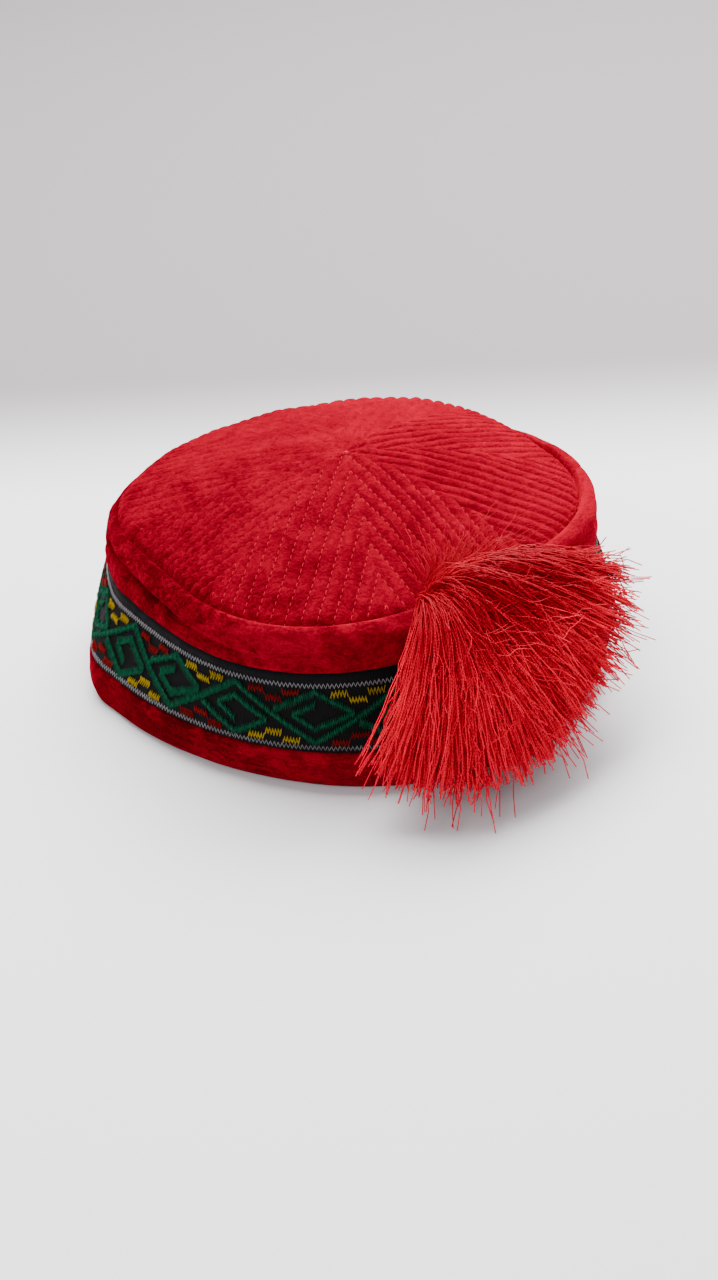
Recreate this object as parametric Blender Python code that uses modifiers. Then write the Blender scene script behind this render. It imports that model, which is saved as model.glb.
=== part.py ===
"""Tubeteika skullcap: quilted velvet crown, rolled side wall, woven ribbon band and silk tassel.

Lengths are in metres and +Z is up. The hem stands on Z = 0, the front faces -Y, and a turn is
measured in degrees from +X, counter-clockwise seen from above.
"""
import math

import bmesh
import bpy
from mathutils import Vector
from mathutils.geometry import interpolate_bezier

# Sizes of the cap
HEM_RADIUS = 0.0930
SEAM_RADIUS = 0.0816
SEAM_HEIGHT = 0.0554
CROWN_RISE = 0.0200
ROLL_WIDTH = 0.0059
HEM_SWELL = 0.0038
WALL_THICK = 0.0022
CROWN_THICK = 0.0025
CLEARANCE = 0.0003

# Ribbon sewn round the wall
RIBBON_LOW = 0.0156
RIBBON_WIDTH = 0.0262
RIBBON_THICK = 0.0010
SEAT_DEPTH = RIBBON_THICK + 2 * CLEARANCE

# Quilting of the crown
SECTORS = 8
SECTOR_TURN = -82.0
RIB_PITCH = 0.00485
RIB_HEIGHT = 0.0011
DOME_POWER = 1.7

# Tassel at the front right of the crown seam
TASSEL_TURN = -73.0
TASSEL_HEAD_RADIUS = 0.0040
TASSEL_SPREAD = 0.0240
TASSEL_ARCH = 0.0150
LOCK_ROOT_RADIUS = 0.0022
LOCK_TIP_RADIUS = 0.0062

# Lean of the soft top: back, up to the right, and in three waves
TOP_LEAN = 0.0060
TOP_TILT_DEGREES = 2.1
TOP_WAVE = 0.0014
TOP_WAVE_TURN = 20.0

# Sag of the soft top's edge at the back
TOP_SAG = 0.0016
TOP_SAG_TURN = 96.0
TOP_SAG_HALF_TURN = 14.0

# Mesh density
COLUMNS = 64
LEG_STEPS = 6
LOCK_STEPS = 6

# Outer line of the wall below its roll. Height is a share of SEAM_HEIGHT. Lean is 0 at the hem's
# radius and 1 at the shoulder's. Swell is a share of HEM_SWELL.
#   height, lean, swell
WALL_LINE = (
    (0.00, 0.00, 0.00),
    (0.06, 0.00, 0.36),
    (0.15, 0.05, 0.73),
    (0.26, 0.15, 1.00),
    (0.48, 0.60, 0.72),
    (0.68, 0.90, 0.19),
    (0.80, 0.95, 0.09),
    (0.86, 1.00, 0.10),
)

# Outer line of the roll that the wall ends in. Rise is from SEAM_HEIGHT and reach is from
# SEAM_RADIUS, both as shares of ROLL_WIDTH.
#   rise, reach
ROLL_LINE = (
    (-0.75, 0.97),
    (-0.19, 0.73),
    (0.19, 0.44),
    (0.28, 0.19),
    (0.09, 0.00),
)

# Soft lobes of the plan. Depths are shares of HEM_RADIUS, at the hem and at the top.
#   lobes, hem depth, top depth, turn of a peak
PLAN_LOBES = (
    (3, 0.037, 0.000, 55.0),
    (2, 0.000, 0.038, 90.0),
    (3, 0.000, 0.016, 15.0),
    (4, 0.000, 0.047, -10.0),
)

# Soft corner and hollow of the hem, which fade towards the top. Depth is a share of HEM_RADIUS.
#   turn, half turn, depth
HEM_CORNERS = (
    (196.0, 8.0, 0.028),
    (175.0, 17.0, -0.060),
)

# Soft folds pressed into the wall above the ribbon. Height and rise are shares of SEAM_HEIGHT,
# depth is a share of WALL_THICK.
#   turn, height, depth, half turn, half rise
WALL_FOLDS = (
    (-172.0, 0.93, 0.50, 14.0, 0.05),
    (-150.0, 0.90, 0.60, 14.0, 0.05),
    (-128.0, 0.86, 0.50, 14.0, 0.05),
    (-110.0, 0.83, 0.25, 12.0, 0.04),
)

# Locks of the tassel. The turn is from TASSEL_TURN, the tip's height is a share of SEAM_HEIGHT,
# the stand-off from the wall is a share of TASSEL_SPREAD, and the arch is a share of TASSEL_ARCH.
#   turn, tip height, stand-off, arch
TASSEL_LOCKS = (
    (-19.0, 0.31, 0.60, 0.4),
    (-12.0, 0.18, 0.85, 0.6),
    (-5.0, 0.11, 0.95, 0.7),
    (2.0, 0.09, 1.00, 0.8),
    (9.0, 0.09, 0.95, 0.8),
    (17.0, 0.12, 0.90, 0.9),
    (25.0, 0.20, 0.80, 0.9),
    (32.0, 0.31, 0.75, 1.0),
    (39.0, 0.42, 0.65, 1.0),
    (46.0, 0.52, 0.60, 0.9),
    (53.0, 0.62, 0.45, 0.8),
    (57.0, 0.76, 0.40, 0.7),
    (58.0, 0.92, 0.34, 0.6),
)

VELVET_RED = (0.42, 0.005, 0.010, 1.0)
RIBBON_BLACK = (0.012, 0.012, 0.014, 1.0)
SILK_RED = (0.50, 0.005, 0.012, 1.0)


def clear_scene():
    for item in list(bpy.data.objects):
        bpy.data.objects.remove(item, do_unlink=True)


def make_collection(name):
    collection = bpy.data.collections.new(name)
    bpy.context.scene.collection.children.link(collection)
    return collection


def make_material(name, color, roughness):
    material = bpy.data.materials.new(name)
    material.use_nodes = True
    shader = material.node_tree.nodes["Principled BSDF"]
    shader.inputs["Base Color"].default_value = color
    shader.inputs["Roughness"].default_value = roughness
    shader.inputs["Metallic"].default_value = 0.0
    return material


def make_object(name, bm, collection, material):
    mesh = bpy.data.meshes.new(name)
    bm.to_mesh(mesh)
    bm.free()
    mesh.materials.append(material)
    item = bpy.data.objects.new(name, mesh)
    collection.objects.link(item)
    return item


def add_solidify(item, thickness):
    solidify = item.modifiers.new("thickness", "SOLIDIFY")
    solidify.thickness = thickness
    solidify.offset = -1.0


def near_turn(turn, middle, half_turn):
    """1 at a middle turn and fading to 0 beside it, with the middle and half turn in degrees."""
    away = (math.degrees(turn) - middle + 180.0) % 360.0 - 180.0
    return math.exp(-((away / half_turn) ** 2))


def cap_point(turn, radius, height):
    """Place a point of the plainly round cap on the soft, leaning shape of the real one."""
    climb = min(height / SEAM_HEIGHT, 1.0)
    reach = min(radius / SEAM_RADIUS, 1.0) ** 2
    lobe = sum(
        HEM_RADIUS * (hem * (1.0 - climb) + top * climb) * math.cos(count * (turn - math.radians(peak)))
        for count, hem, top, peak in PLAN_LOBES
    )
    corner = HEM_RADIUS * (1.0 - climb) * sum(
        depth * near_turn(turn, middle, half_turn) for middle, half_turn, depth in HEM_CORNERS
    )
    soft_radius = radius + reach * (lobe + corner)
    x = soft_radius * math.cos(turn)
    wave = TOP_WAVE * reach * math.cos(3 * (turn - math.radians(TOP_WAVE_TURN)))
    sag = TOP_SAG * reach * near_turn(turn, TOP_SAG_TURN, TOP_SAG_HALF_TURN)
    return Vector((
        x,
        soft_radius * math.sin(turn) + TOP_LEAN * climb,
        height + climb * (x * math.tan(math.radians(TOP_TILT_DEGREES)) + wave - sag),
    ))


def wall_table():
    """Outer line of the plainly round wall below its roll, as (radius, height) pairs."""
    shoulder = SEAM_RADIUS + ROLL_WIDTH
    return [
        (HEM_RADIUS + (shoulder - HEM_RADIUS) * lean + HEM_SWELL * swell, SEAM_HEIGHT * share)
        for share, lean, swell in WALL_LINE
    ]


def roll_table():
    """Outer line of the plainly round roll, as (radius, height) pairs."""
    return [(SEAM_RADIUS + ROLL_WIDTH * reach, SEAM_HEIGHT + ROLL_WIDTH * rise) for rise, reach in ROLL_LINE]


def skin_radius(height):
    """Outer radius of the plainly round wall at a height, read from its table."""
    table = wall_table() + roll_table()
    for (low_radius, low), (high_radius, high) in zip(table, table[1:]):
        if low <= height <= high:
            return low_radius + (high_radius - low_radius) * (height - low) / (high - low)
    return SEAM_RADIUS


def fold_depth(turn, height):
    """How far the soft folds press the wall in at a turn and height."""
    depth = 0.0
    for fold_turn, fold_height, share, half_turn, half_rise in WALL_FOLDS:
        away = math.degrees(turn) - fold_turn
        away = (away + 180.0) % 360.0 - 180.0
        across = (height / SEAM_HEIGHT - fold_height) / half_rise
        depth += share * WALL_THICK * math.exp(-((away / half_turn) ** 2) - across ** 2)
    return depth


def ribbon_heights():
    """Heights of the ribbon's rows, which the wall behind it shares."""
    low, high = RIBBON_LOW, RIBBON_LOW + RIBBON_WIDTH
    return [low] + [height for _, height in wall_table() if low < height < high] + [high]


def wall_outline():
    """Outer line of the wall, sunk where the ribbon is seated."""
    rows = ribbon_heights()
    low, high = rows[0] - 2 * CLEARANCE, rows[-1] + 2 * CLEARANCE
    foot, brow = low - CLEARANCE, high + CLEARANCE
    table = wall_table() + roll_table()
    seat = [(skin_radius(row) - SEAT_DEPTH, row) for row in [low] + rows[1:-1] + [high]]
    below = [(radius, height) for radius, height in table if height < foot]
    above = [(radius, height) for radius, height in table if height > brow]
    return below + [(skin_radius(foot), foot)] + seat + [(skin_radius(brow), brow)] + above


def wall_inline(outer):
    """Inner line of the padded wall, one wall behind the ribbon's seat, up to the seam's edge."""
    line = [(radius - SEAT_DEPTH - WALL_THICK, height) for radius, height in wall_table()]
    along = (Vector(outer[-1]) - Vector(outer[-2])).normalized() * WALL_THICK
    return line + [(outer[-1][0] - along.y, outer[-1][1] + along.x)]


def spin_line(line, closed):
    """Turn a (radius, height) line round the axis, and soften it to the cap's real shape."""
    bm = bmesh.new()
    points = [bm.verts.new((radius, 0.0, height)) for radius, height in line]
    pairs = list(zip(points, points[1:]))
    if closed:
        pairs.append((points[-1], points[0]))
    edges = [bm.edges.new(pair) for pair in pairs]
    bmesh.ops.spin(
        bm, geom=points + edges, axis=(0.0, 0.0, 1.0), cent=(0.0, 0.0, 0.0),
        angle=2.0 * math.pi, steps=COLUMNS, use_merge=True,
    )
    bmesh.ops.remove_doubles(bm, verts=bm.verts, dist=1e-6)
    for vert in bm.verts:
        turn = math.atan2(vert.co.y, vert.co.x)
        radius = math.hypot(vert.co.x, vert.co.y) - fold_depth(turn, vert.co.z)
        vert.co = cap_point(turn, radius, vert.co.z)
    bmesh.ops.recalc_face_normals(bm, faces=bm.faces)
    return bm


def make_side_wall(collection, material):
    outer = wall_outline()
    inner = wall_inline(outer)
    return make_object("side_wall", spin_line(outer + inner[::-1], closed=True), collection, material)


def make_ribbon_band(collection, material):
    line = [(skin_radius(height), height) for height in ribbon_heights()]
    bm = spin_line(line, closed=False)
    face = max(bm.faces, key=lambda item: item.calc_center_median().x)
    if face.normal.x < 0.0:
        bmesh.ops.reverse_faces(bm, faces=bm.faces)
    ribbon = make_object("ribbon_band", bm, collection, material)
    add_solidify(ribbon, RIBBON_THICK)
    return ribbon


def quilted_height(radius, across):
    """Height of the crown at a radius, with a rib between each two stitch lines."""
    dome = CROWN_RISE * (1.0 - (radius / SEAM_RADIUS) ** DOME_POWER)
    rib = RIB_HEIGHT * (abs(math.sin(math.pi * across / RIB_PITCH)) - 0.5)
    return SEAM_HEIGHT + dome + rib * min(radius / RIB_PITCH, 1.0)


def add_half_sector(bm, border, side):
    """Add half a sector, whose rows run parallel to its border and so meet in nested V's."""
    half = math.pi / SECTORS
    rim = SEAM_RADIUS - CLEARANCE
    widest = rim * math.sin(half)
    rows = math.ceil(2.0 * widest / RIB_PITCH)
    grid = bmesh.ops.create_grid(bm, x_segments=rows, y_segments=LEG_STEPS, size=0.5)["verts"]
    for vert in grid:
        row = round((vert.co.x + 0.5) * rows)
        across = min(row * RIB_PITCH / 2.0, widest)
        start = across / math.tan(half)
        along = start + (math.sqrt(rim ** 2 - across ** 2) - start) * (vert.co.y + 0.5)
        radius = math.hypot(along, across)
        turn = border + side * math.atan2(across, along)
        vert.co = cap_point(turn, radius, quilted_height(radius, across))


def make_crown(collection, material):
    bm = bmesh.new()
    for sector in range(SECTORS):
        border = math.radians(SECTOR_TURN) + (sector + 0.5) * 2.0 * math.pi / SECTORS
        add_half_sector(bm, border, 1)
        add_half_sector(bm, border, -1)
    bmesh.ops.remove_doubles(bm, verts=bm.verts, dist=1e-5)
    bmesh.ops.recalc_face_normals(bm, faces=bm.faces)
    if sum(face.normal.z for face in bm.faces) < 0.0:
        bmesh.ops.reverse_faces(bm, faces=bm.faces)
    crown = make_object("crown", bm, collection, material)
    add_solidify(crown, CROWN_THICK)
    return crown


def tassel_head_place():
    """Turn, radius and height of the tassel's head, which sits on the crest of the roll."""
    radius, height = max(roll_table(), key=lambda point: point[1])
    return math.radians(TASSEL_TURN), radius, height + TASSEL_HEAD_RADIUS + CLEARANCE


def lock_path(turn_share, tip_share, stand_off, arch):
    """Points of one lock, from the tassel's head over the roll and down in front of the wall."""
    root_turn, root_radius, root_height = tassel_head_place()
    tip_height = tip_share * SEAM_HEIGHT
    tip_radius = skin_radius(tip_height) + stand_off * TASSEL_SPREAD
    rise = root_height + arch * TASSEL_ARCH
    curve = interpolate_bezier(
        (root_radius, root_height, 0.0),
        (root_radius + 0.5 * (tip_radius - root_radius), rise, 0.0),
        (tip_radius, root_height + 0.4 * (tip_height - root_height), 0.0),
        (tip_radius, tip_height, 0.0),
        LOCK_STEPS,
    )
    points = []
    for step, point in enumerate(curve):
        turn = root_turn + math.radians(turn_share) * step / (LOCK_STEPS - 1)
        points.append(cap_point(turn, point.x, point.y))
    return points


def make_lock(index, row, collection, material):
    """One lock as a tapering tube, made a mesh so that it can be joined to the head."""
    points = lock_path(*row)
    curve = bpy.data.curves.new("lock_curve", "CURVE")
    curve.dimensions = "3D"
    curve.bevel_depth = 1.0
    curve.bevel_resolution = 1
    curve.use_fill_caps = True
    spline = curve.splines.new("POLY")
    spline.points.add(len(points) - 1)
    for step, point in enumerate(points):
        spline.points[step].co = (*point, 1.0)
        share = step / (len(points) - 1)
        spline.points[step].radius = LOCK_ROOT_RADIUS + (LOCK_TIP_RADIUS - LOCK_ROOT_RADIUS) * share
    source = bpy.data.objects.new("lock_source", curve)
    collection.objects.link(source)
    evaluated = source.evaluated_get(bpy.context.evaluated_depsgraph_get())
    mesh = bpy.data.meshes.new_from_object(evaluated)
    bpy.data.objects.remove(source)
    bpy.data.curves.remove(curve)
    bm = bmesh.new()
    bm.from_mesh(mesh)
    bpy.data.meshes.remove(mesh)
    bmesh.ops.remove_doubles(bm, verts=bm.verts, dist=1e-6)
    bmesh.ops.recalc_face_normals(bm, faces=bm.faces)
    lock = make_object(f"lock_{index:02d}", bm, collection, material)
    lock.hide_render = True
    lock.display_type = "WIRE"


def make_tassel(collection, locks, material):
    for index, row in enumerate(TASSEL_LOCKS, 1):
        make_lock(index, row, locks, material)
    bm = bmesh.new()
    bmesh.ops.create_uvsphere(bm, u_segments=12, v_segments=8, radius=TASSEL_HEAD_RADIUS)
    head_place = cap_point(*tassel_head_place())
    tassel = make_object("tassel", bm, collection, material)
    tassel.location = head_place
    join = tassel.modifiers.new("locks", "BOOLEAN")
    join.operation = "UNION"
    join.operand_type = "COLLECTION"
    join.collection = locks
    join.solver = "EXACT"
    join.use_self = True
    return tassel


def main():
    clear_scene()
    cap = make_collection("tubeteika_skullcap")
    cutters = make_collection("cutters")
    velvet = make_material("red_velvet", VELVET_RED, 0.85)
    woven = make_material("black_ribbon", RIBBON_BLACK, 0.70)
    silk = make_material("red_silk", SILK_RED, 0.45)
    make_side_wall(cap, velvet)
    make_ribbon_band(cap, woven)
    make_crown(cap, velvet)
    make_tassel(cap, cutters, silk)


main()
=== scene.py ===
"""Looks of a tubeteika skullcap: quilted velvet, embroidered ribbon, silk tassel and a pale studio.

Lengths are in metres and +Z is up. The hem stands on Z = 0, the front faces -Y, and a turn is
measured from +X, counter-clockwise seen from above. The file is laid out as an add-on and is run
as a script.
"""
import math
import random

import bmesh
import bpy
from bpy.props import (
    FloatProperty, FloatVectorProperty, IntProperty, PointerProperty,
)
from mathutils import Matrix, Vector, noise
from mathutils.geometry import interpolate_bezier


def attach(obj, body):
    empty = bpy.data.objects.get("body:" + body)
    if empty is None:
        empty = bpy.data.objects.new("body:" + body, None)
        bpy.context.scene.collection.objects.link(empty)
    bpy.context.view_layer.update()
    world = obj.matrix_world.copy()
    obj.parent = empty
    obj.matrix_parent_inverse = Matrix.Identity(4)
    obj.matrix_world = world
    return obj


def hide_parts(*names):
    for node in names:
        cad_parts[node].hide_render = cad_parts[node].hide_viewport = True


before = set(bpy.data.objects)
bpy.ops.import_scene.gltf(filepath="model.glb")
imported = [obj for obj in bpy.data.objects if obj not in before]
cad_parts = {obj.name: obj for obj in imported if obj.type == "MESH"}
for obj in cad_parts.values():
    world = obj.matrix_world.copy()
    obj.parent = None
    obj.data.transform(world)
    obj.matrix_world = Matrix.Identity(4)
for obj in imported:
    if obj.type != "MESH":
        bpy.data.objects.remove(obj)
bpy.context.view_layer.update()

bl_info = {
    "name": "Tubeteika skullcap",
    "version": (1, 0, 0),
    "blender": (4, 5, 0),
    "location": "View3D > Sidebar > Skullcap",
    "description": "Makes the velvet, ribbon, embroidery and tassel of a quilted skullcap",
    "category": "Object",
}

BODY = "root"

# Outer line of the wall below its roll. Height is a share of the seam's height, lean is 0 at the
# hem's radius and 1 at the shoulder's, swell is a share of the hem's swell.
#   height, lean, swell
WALL_LINE = (
    (0.00, 0.00, 0.00),
    (0.06, 0.00, 0.36),
    (0.15, 0.05, 0.73),
    (0.26, 0.15, 1.00),
    (0.48, 0.60, 0.72),
    (0.68, 0.90, 0.19),
    (0.80, 0.95, 0.09),
    (0.86, 1.00, 0.10),
)

# Outer line of the roll. Rise is from the seam's height and reach is from its radius, both as
# shares of the roll's width.
#   rise, reach
ROLL_LINE = (
    (-0.75, 0.97),
    (-0.19, 0.73),
    (0.19, 0.44),
    (0.28, 0.19),
    (0.09, 0.00),
)

# Soft lobes of the plan. Depths are shares of the hem's radius, at the hem and at the top.
#   lobes, hem depth, top depth, turn of a peak in degrees
PLAN_LOBES = (
    (3, 0.037, 0.000, 55.0),
    (2, 0.000, 0.038, 90.0),
    (3, 0.000, 0.016, 15.0),
    (4, 0.000, 0.047, -10.0),
)

# Soft corner and hollow of the hem, which fade towards the top. Depth is a share of its radius.
#   turn in degrees, half turn in degrees, depth
HEM_CORNERS = (
    (196.0, 8.0, 0.028),
    (175.0, 17.0, -0.060),
)

# Section of the velvet wall up to its roll, from inside the hem outwards and up. The inset is
# inwards from the skin, and relief says how freely the velvet crumples there.
#   height, inset, relief
WALL_SECTION = (
    (0.0004, 0.0030, 0.0),
    (0.0000, 0.0018, 0.0),
    (0.0003, 0.0006, 0.2),
    (0.0014, 0.0000, 0.5),
    (0.0040, -0.0002, 1.0),
    (0.0080, -0.0003, 1.0),
    (0.0120, -0.0002, 1.0),
    (0.0142, 0.0000, 0.6),
    (0.0151, 0.0007, 0.2),
    (0.0155, 0.0015, 0.0),
    (0.0200, 0.0016, 0.0),
    (0.0290, 0.0016, 0.0),
    (0.0380, 0.0016, 0.0),
    (0.0417, 0.0015, 0.0),
    (0.0419, 0.0006, 0.2),
    (0.0425, -0.0004, 0.6),
    (0.0440, -0.0006, 1.0),
    (0.0460, -0.0005, 1.0),
)

# Roll at the top of the wall, in the way of ROLL_LINE, with its relief
#   rise, reach, relief
ROLL_SECTION = (
    (-1.10, 1.05, 1.0),
    (-0.75, 1.08, 1.0),
    (-0.40, 1.00, 1.0),
    (-0.08, 0.83, 1.0),
    (0.16, 0.60, 0.9),
    (0.29, 0.36, 0.7),
    (0.22, 0.13, 0.4),
    (0.02, 0.03, 0.1),
    (-0.25, 0.01, 0.0),
)

# Soft crease pressed into the wall below its roll, round the left and the front
#   turn in degrees, height, depth
WALL_CREASE = (
    (-212.0, 0.0530, 0.0000),
    (-196.0, 0.0522, 0.0006),
    (-180.0, 0.0515, 0.0012),
    (-165.0, 0.0508, 0.0015),
    (-150.0, 0.0498, 0.0016),
    (-138.0, 0.0488, 0.0015),
    (-126.0, 0.0476, 0.0013),
    (-114.0, 0.0464, 0.0009),
    (-104.0, 0.0458, 0.0006),
    (-94.0, 0.0455, 0.0000),
)

# Locks of the tassel. The turn is in degrees from the tassel's, the tip's height is a share of
# the seam's, the stand-off is a share of the spread, and the arch is a share of the arch.
#   turn, tip height, stand-off, arch
TASSEL_LOCKS = (
    (-12.0, 0.18, 0.60, 0.4),
    (-8.5, 0.08, 0.88, 0.6),
    (-3.5, 0.02, 1.06, 0.7),
    (2.0, 0.00, 1.12, 0.8),
    (9.0, 0.02, 1.02, 0.8),
    (16.0, 0.08, 0.90, 0.9),
    (23.0, 0.18, 0.82, 0.9),
    (30.0, 0.29, 0.80, 1.0),
    (37.0, 0.40, 0.78, 1.0),
    (44.0, 0.50, 0.68, 0.8),
    (50.0, 0.60, 0.50, 0.6),
    (52.5, 0.70, 0.38, 0.5),
    (52.0, 0.82, 0.22, 0.4),
)

# Green strokes of one repeat of the ribbon's pattern. Along is in figures, two to a repeat, and
# up is 0 at the lower white thread and 1 at the upper one.
GREEN_STROKES = (
    ((0.00, 0.90), (1.00, 0.09), (2.00, 0.90)),
    ((1.00, 0.90), (0.50, 0.58)),
    ((1.00, 0.90), (1.45, 0.56), (1.00, 0.31), (0.73, 0.52), (1.00, 0.69)),
    ((2.00, 0.08), (1.50, 0.42)),
    ((0.00, 0.08), (0.42, 0.38), (0.00, 0.67), (-0.25, 0.49), (0.00, 0.29)),
)

# Small groups of three blocks between the figures
#   along, up of the outer blocks, up of the middle block, colour
BLOCK_GROUPS = (
    (0.50, 0.87, 0.76, "red"),
    (0.50, 0.10, 0.21, "yellow"),
    (1.50, 0.87, 0.76, "yellow"),
    (1.50, 0.10, 0.21, "red"),
)


# Area lights of the studio, whose powers are settings of the same names
#   name, place, target, size, colour
LIGHTS = (
    ("top_light", (-0.22, 0.42, 1.20), (0.0, 0.0, 0.00), 1.1, (1.0, 0.99, 0.99)),
    ("back_light", (0.35, 0.85, 0.90), (0.0, 0.0, 0.05), 0.8, (1.0, 1.00, 1.00)),
    ("front_light", (-0.45, -1.30, 0.95), (0.0, 0.0, 0.02), 1.0, (1.0, 1.00, 1.00)),
)

# Half turn, in degrees, of the sag at the back of the seam
SAG_HALF_TURN = 14.0

# Turns, in degrees, at which the crown's lap over the roll starts, is full, starts to end and ends
LAP_TURNS = (16.0, 46.0, 174.0, 200.0)

# Turn and half turn, in degrees, of the deeper dip at the left of the crown's edge
DIP_TURN = 208.0
DIP_HALF_TURN = 38.0

# Boldness of the ribs at the far left, and the half turn, in degrees, over which they are bold
FAINT_RIBS = 0.22
BOLD_HALF_TURN = 112.0

# Height from which the roll sinks at the back, the climb to its full drop, and how far inside the
# seam the drop fades
DROP_START = 0.047
DROP_CLIMB = 0.008
DROP_FADE = 0.0030

# Columns of faces round the wall and round the ribbon
COLUMNS = 480

# Depth of the ribbon's seat in the wall
SEAT_DEPTH = 0.0016

# Rows of the wall's inner side: its lip, inwards and down from the seam, and the heights below it
LIP_ROWS = ((0.0046, 0.0024), (0.0050, 0.0038))
INNER_HEIGHTS = (0.046, 0.036, 0.026, 0.016, 0.008, 0.003)
VELVET_LIP_ROWS = 5

# Strands that rise at the tassel's root
#   strands, longest reach
ROOT_FUZZ = (
    (75, 0.042),
    (520, 0.020),
)


# Settings

def metres(name, description, default):
    """A length in metres."""
    return FloatProperty(name=name, description=description, default=default, unit="LENGTH")


def angle(name, description, degrees):
    """An angle, given in degrees and kept in radians."""
    return FloatProperty(
        name=name, description=description, default=math.radians(degrees), subtype="ANGLE")


def tint(name, description, default):
    """A linear colour."""
    return FloatVectorProperty(
        name=name, description=description, default=default, subtype="COLOR")


class TUBETEIKA_PG_cap(bpy.types.PropertyGroup):
    """Sizes of the velvet cap."""
    hem_radius: metres("Hem radius", "Mean outer radius at the hem", 0.0930)
    seam_radius: metres("Seam radius", "Radius at which the crown meets the wall's roll", 0.0816)
    seam_height: metres("Seam height", "Height of the seam round the crown", 0.0554)
    crown_rise: metres("Crown rise", "Rise of the domed crown above its seam", 0.0200)
    dome_power: FloatProperty(
        name="Dome power", description="Fullness of the crown, where 2 is a plain dome", default=1.7)
    roll_width: metres("Roll width", "Width of the puffed roll round the crown", 0.0059)
    hem_swell: metres("Hem swell", "How far the wall swells above its hem", 0.0038)
    wall_thick: metres("Wall thickness", "Thickness of the padded wall", 0.0022)
    crown_thick: metres("Crown thickness", "Thickness of the quilted crown", 0.0025)
    top_lean: metres("Top lean", "How far the soft top leans back", 0.0060)
    top_tilt: angle("Top tilt", "Tilt of the soft top, up to the right", 2.1)
    top_wave: metres("Top wave", "Height of the three waves of the seam", 0.0014)
    top_wave_turn: angle("Top wave turn", "Turn of a peak of the seam's waves", 20.0)
    top_sag: metres("Top sag", "How far the seam sags at the back", 0.0016)
    top_sag_turn: angle("Top sag turn", "Turn of the middle of the seam's sag", 96.0)
    crumple: metres("Crumple", "Depth of the soft dents in the wall", 0.00050)
    back_drop: metres("Back drop", "How far the roll sinks behind the crown at the back", 0.0030)
    crease_width: metres("Crease width", "Half width of the crease below the roll", 0.0013)


class TUBETEIKA_PG_quilt(bpy.types.PropertyGroup):
    """Sizes of the crown's quilting."""
    sectors: IntProperty(name="Sectors", description="Wedges of nested stitch lines", default=8)
    sector_turn: angle("Sector turn", "Turn of the middle of a sector", -82.0)
    rib_pitch: metres("Rib pitch", "Distance between stitch lines", 0.00485)
    rib_height: metres("Rib height", "Height of a padded rib above its stitch lines", 0.0014)
    rib_fullness: FloatProperty(
        name="Rib fullness", description="Low values give round ribs with sharp valleys", default=0.6)
    rim_dip: metres("Rim dip", "Depth of the dip in which the crown meets the roll", 0.0012)
    back_reach: metres("Back reach", "How far the crown laps over the roll at the back", 0.0032)
    back_lift: metres("Back lift", "How far the crown's edge stands up at the back", 0.0012)
    stitch_spacing: metres("Stitch spacing", "Distance from stitch to stitch", 0.0031)
    stitch_length: metres("Stitch length", "Length of one quilting stitch", 0.0020)
    thread_radius: metres("Thread radius", "Radius of the quilting thread", 0.00017)
    hole_radius: metres("Hole radius", "Radius of a needle hole", 0.00030)


class TUBETEIKA_PG_ribbon(bpy.types.PropertyGroup):
    """Sizes of the ribbon and its embroidery."""
    low: metres("Lower edge", "Height of the ribbon's lower edge", 0.0156)
    width: metres("Width", "Width of the ribbon", 0.0262)
    thickness: metres("Thickness", "Thickness of the ribbon", 0.0010)
    pattern_turn: angle("Pattern turn", "Turn at which a green zigzag has its peak", -115.5)
    repeats: IntProperty(name="Repeats", description="Repeats of the pattern round the cap", default=10)
    pattern_low: metres("Lower thread", "Height of the lower white zigzag", 0.0172)
    pattern_high: metres("Upper thread", "Height of the upper white zigzag", 0.0376)
    stroke_reach: metres("Stroke reach", "Half height of a green satin stroke", 0.00150)
    block_reach: metres("Block reach", "Half height of a small coloured block", 0.00125)
    edge_reach: metres("Edge reach", "Half height of the white zigzag", 0.00085)
    stroke_step: metres("Stroke step", "Half pitch of the green zigzag stitch", 0.00040)
    block_step: metres("Block step", "Half pitch of the small blocks' stitch", 0.00052)
    edge_step: metres("Edge step", "Half pitch of the white zigzag stitch", 0.00070)
    thread_radius: metres("Thread radius", "Radius of the embroidery thread", 0.00021)
    edge_thread_radius: metres("Edge thread radius", "Radius of the white thread", 0.00013)


class TUBETEIKA_PG_tassel(bpy.types.PropertyGroup):
    """Sizes of the silk tassel."""
    turn: angle("Turn", "Turn of the tassel's root", -73.0)
    head_radius: metres("Head radius", "Radius of the gathered root", 0.0040)
    spread: metres("Spread", "Stand-off of the outermost locks", 0.0240)
    arch: metres("Arch", "Rise of the highest locks over the root", 0.0150)
    hump: metres("Hump", "Further rise of the locks at the right, before they fall", 0.0120)
    lock_radius: metres("Lock radius", "Radius of a lock at its tip", 0.0062)
    guides: IntProperty(name="Guides", description="Guide strands of the fan", default=1000)
    copies: IntProperty(name="Copies", description="Strands that follow each guide", default=4)
    thread_radius: metres("Thread radius", "Radius of a silk strand", 0.00022)
    strays: IntProperty(
        name="Strays", description="Guide strands that turn aside from the fan", default=150)
    crossings: IntProperty(
        name="Crossings", description="Guide strands that lie across the fan", default=240)
    cut_ends: IntProperty(name="Cut ends", description="Short cut ends at the root", default=34)
    seed: IntProperty(name="Seed", description="Seed of the strands' disorder", default=7)


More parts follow.
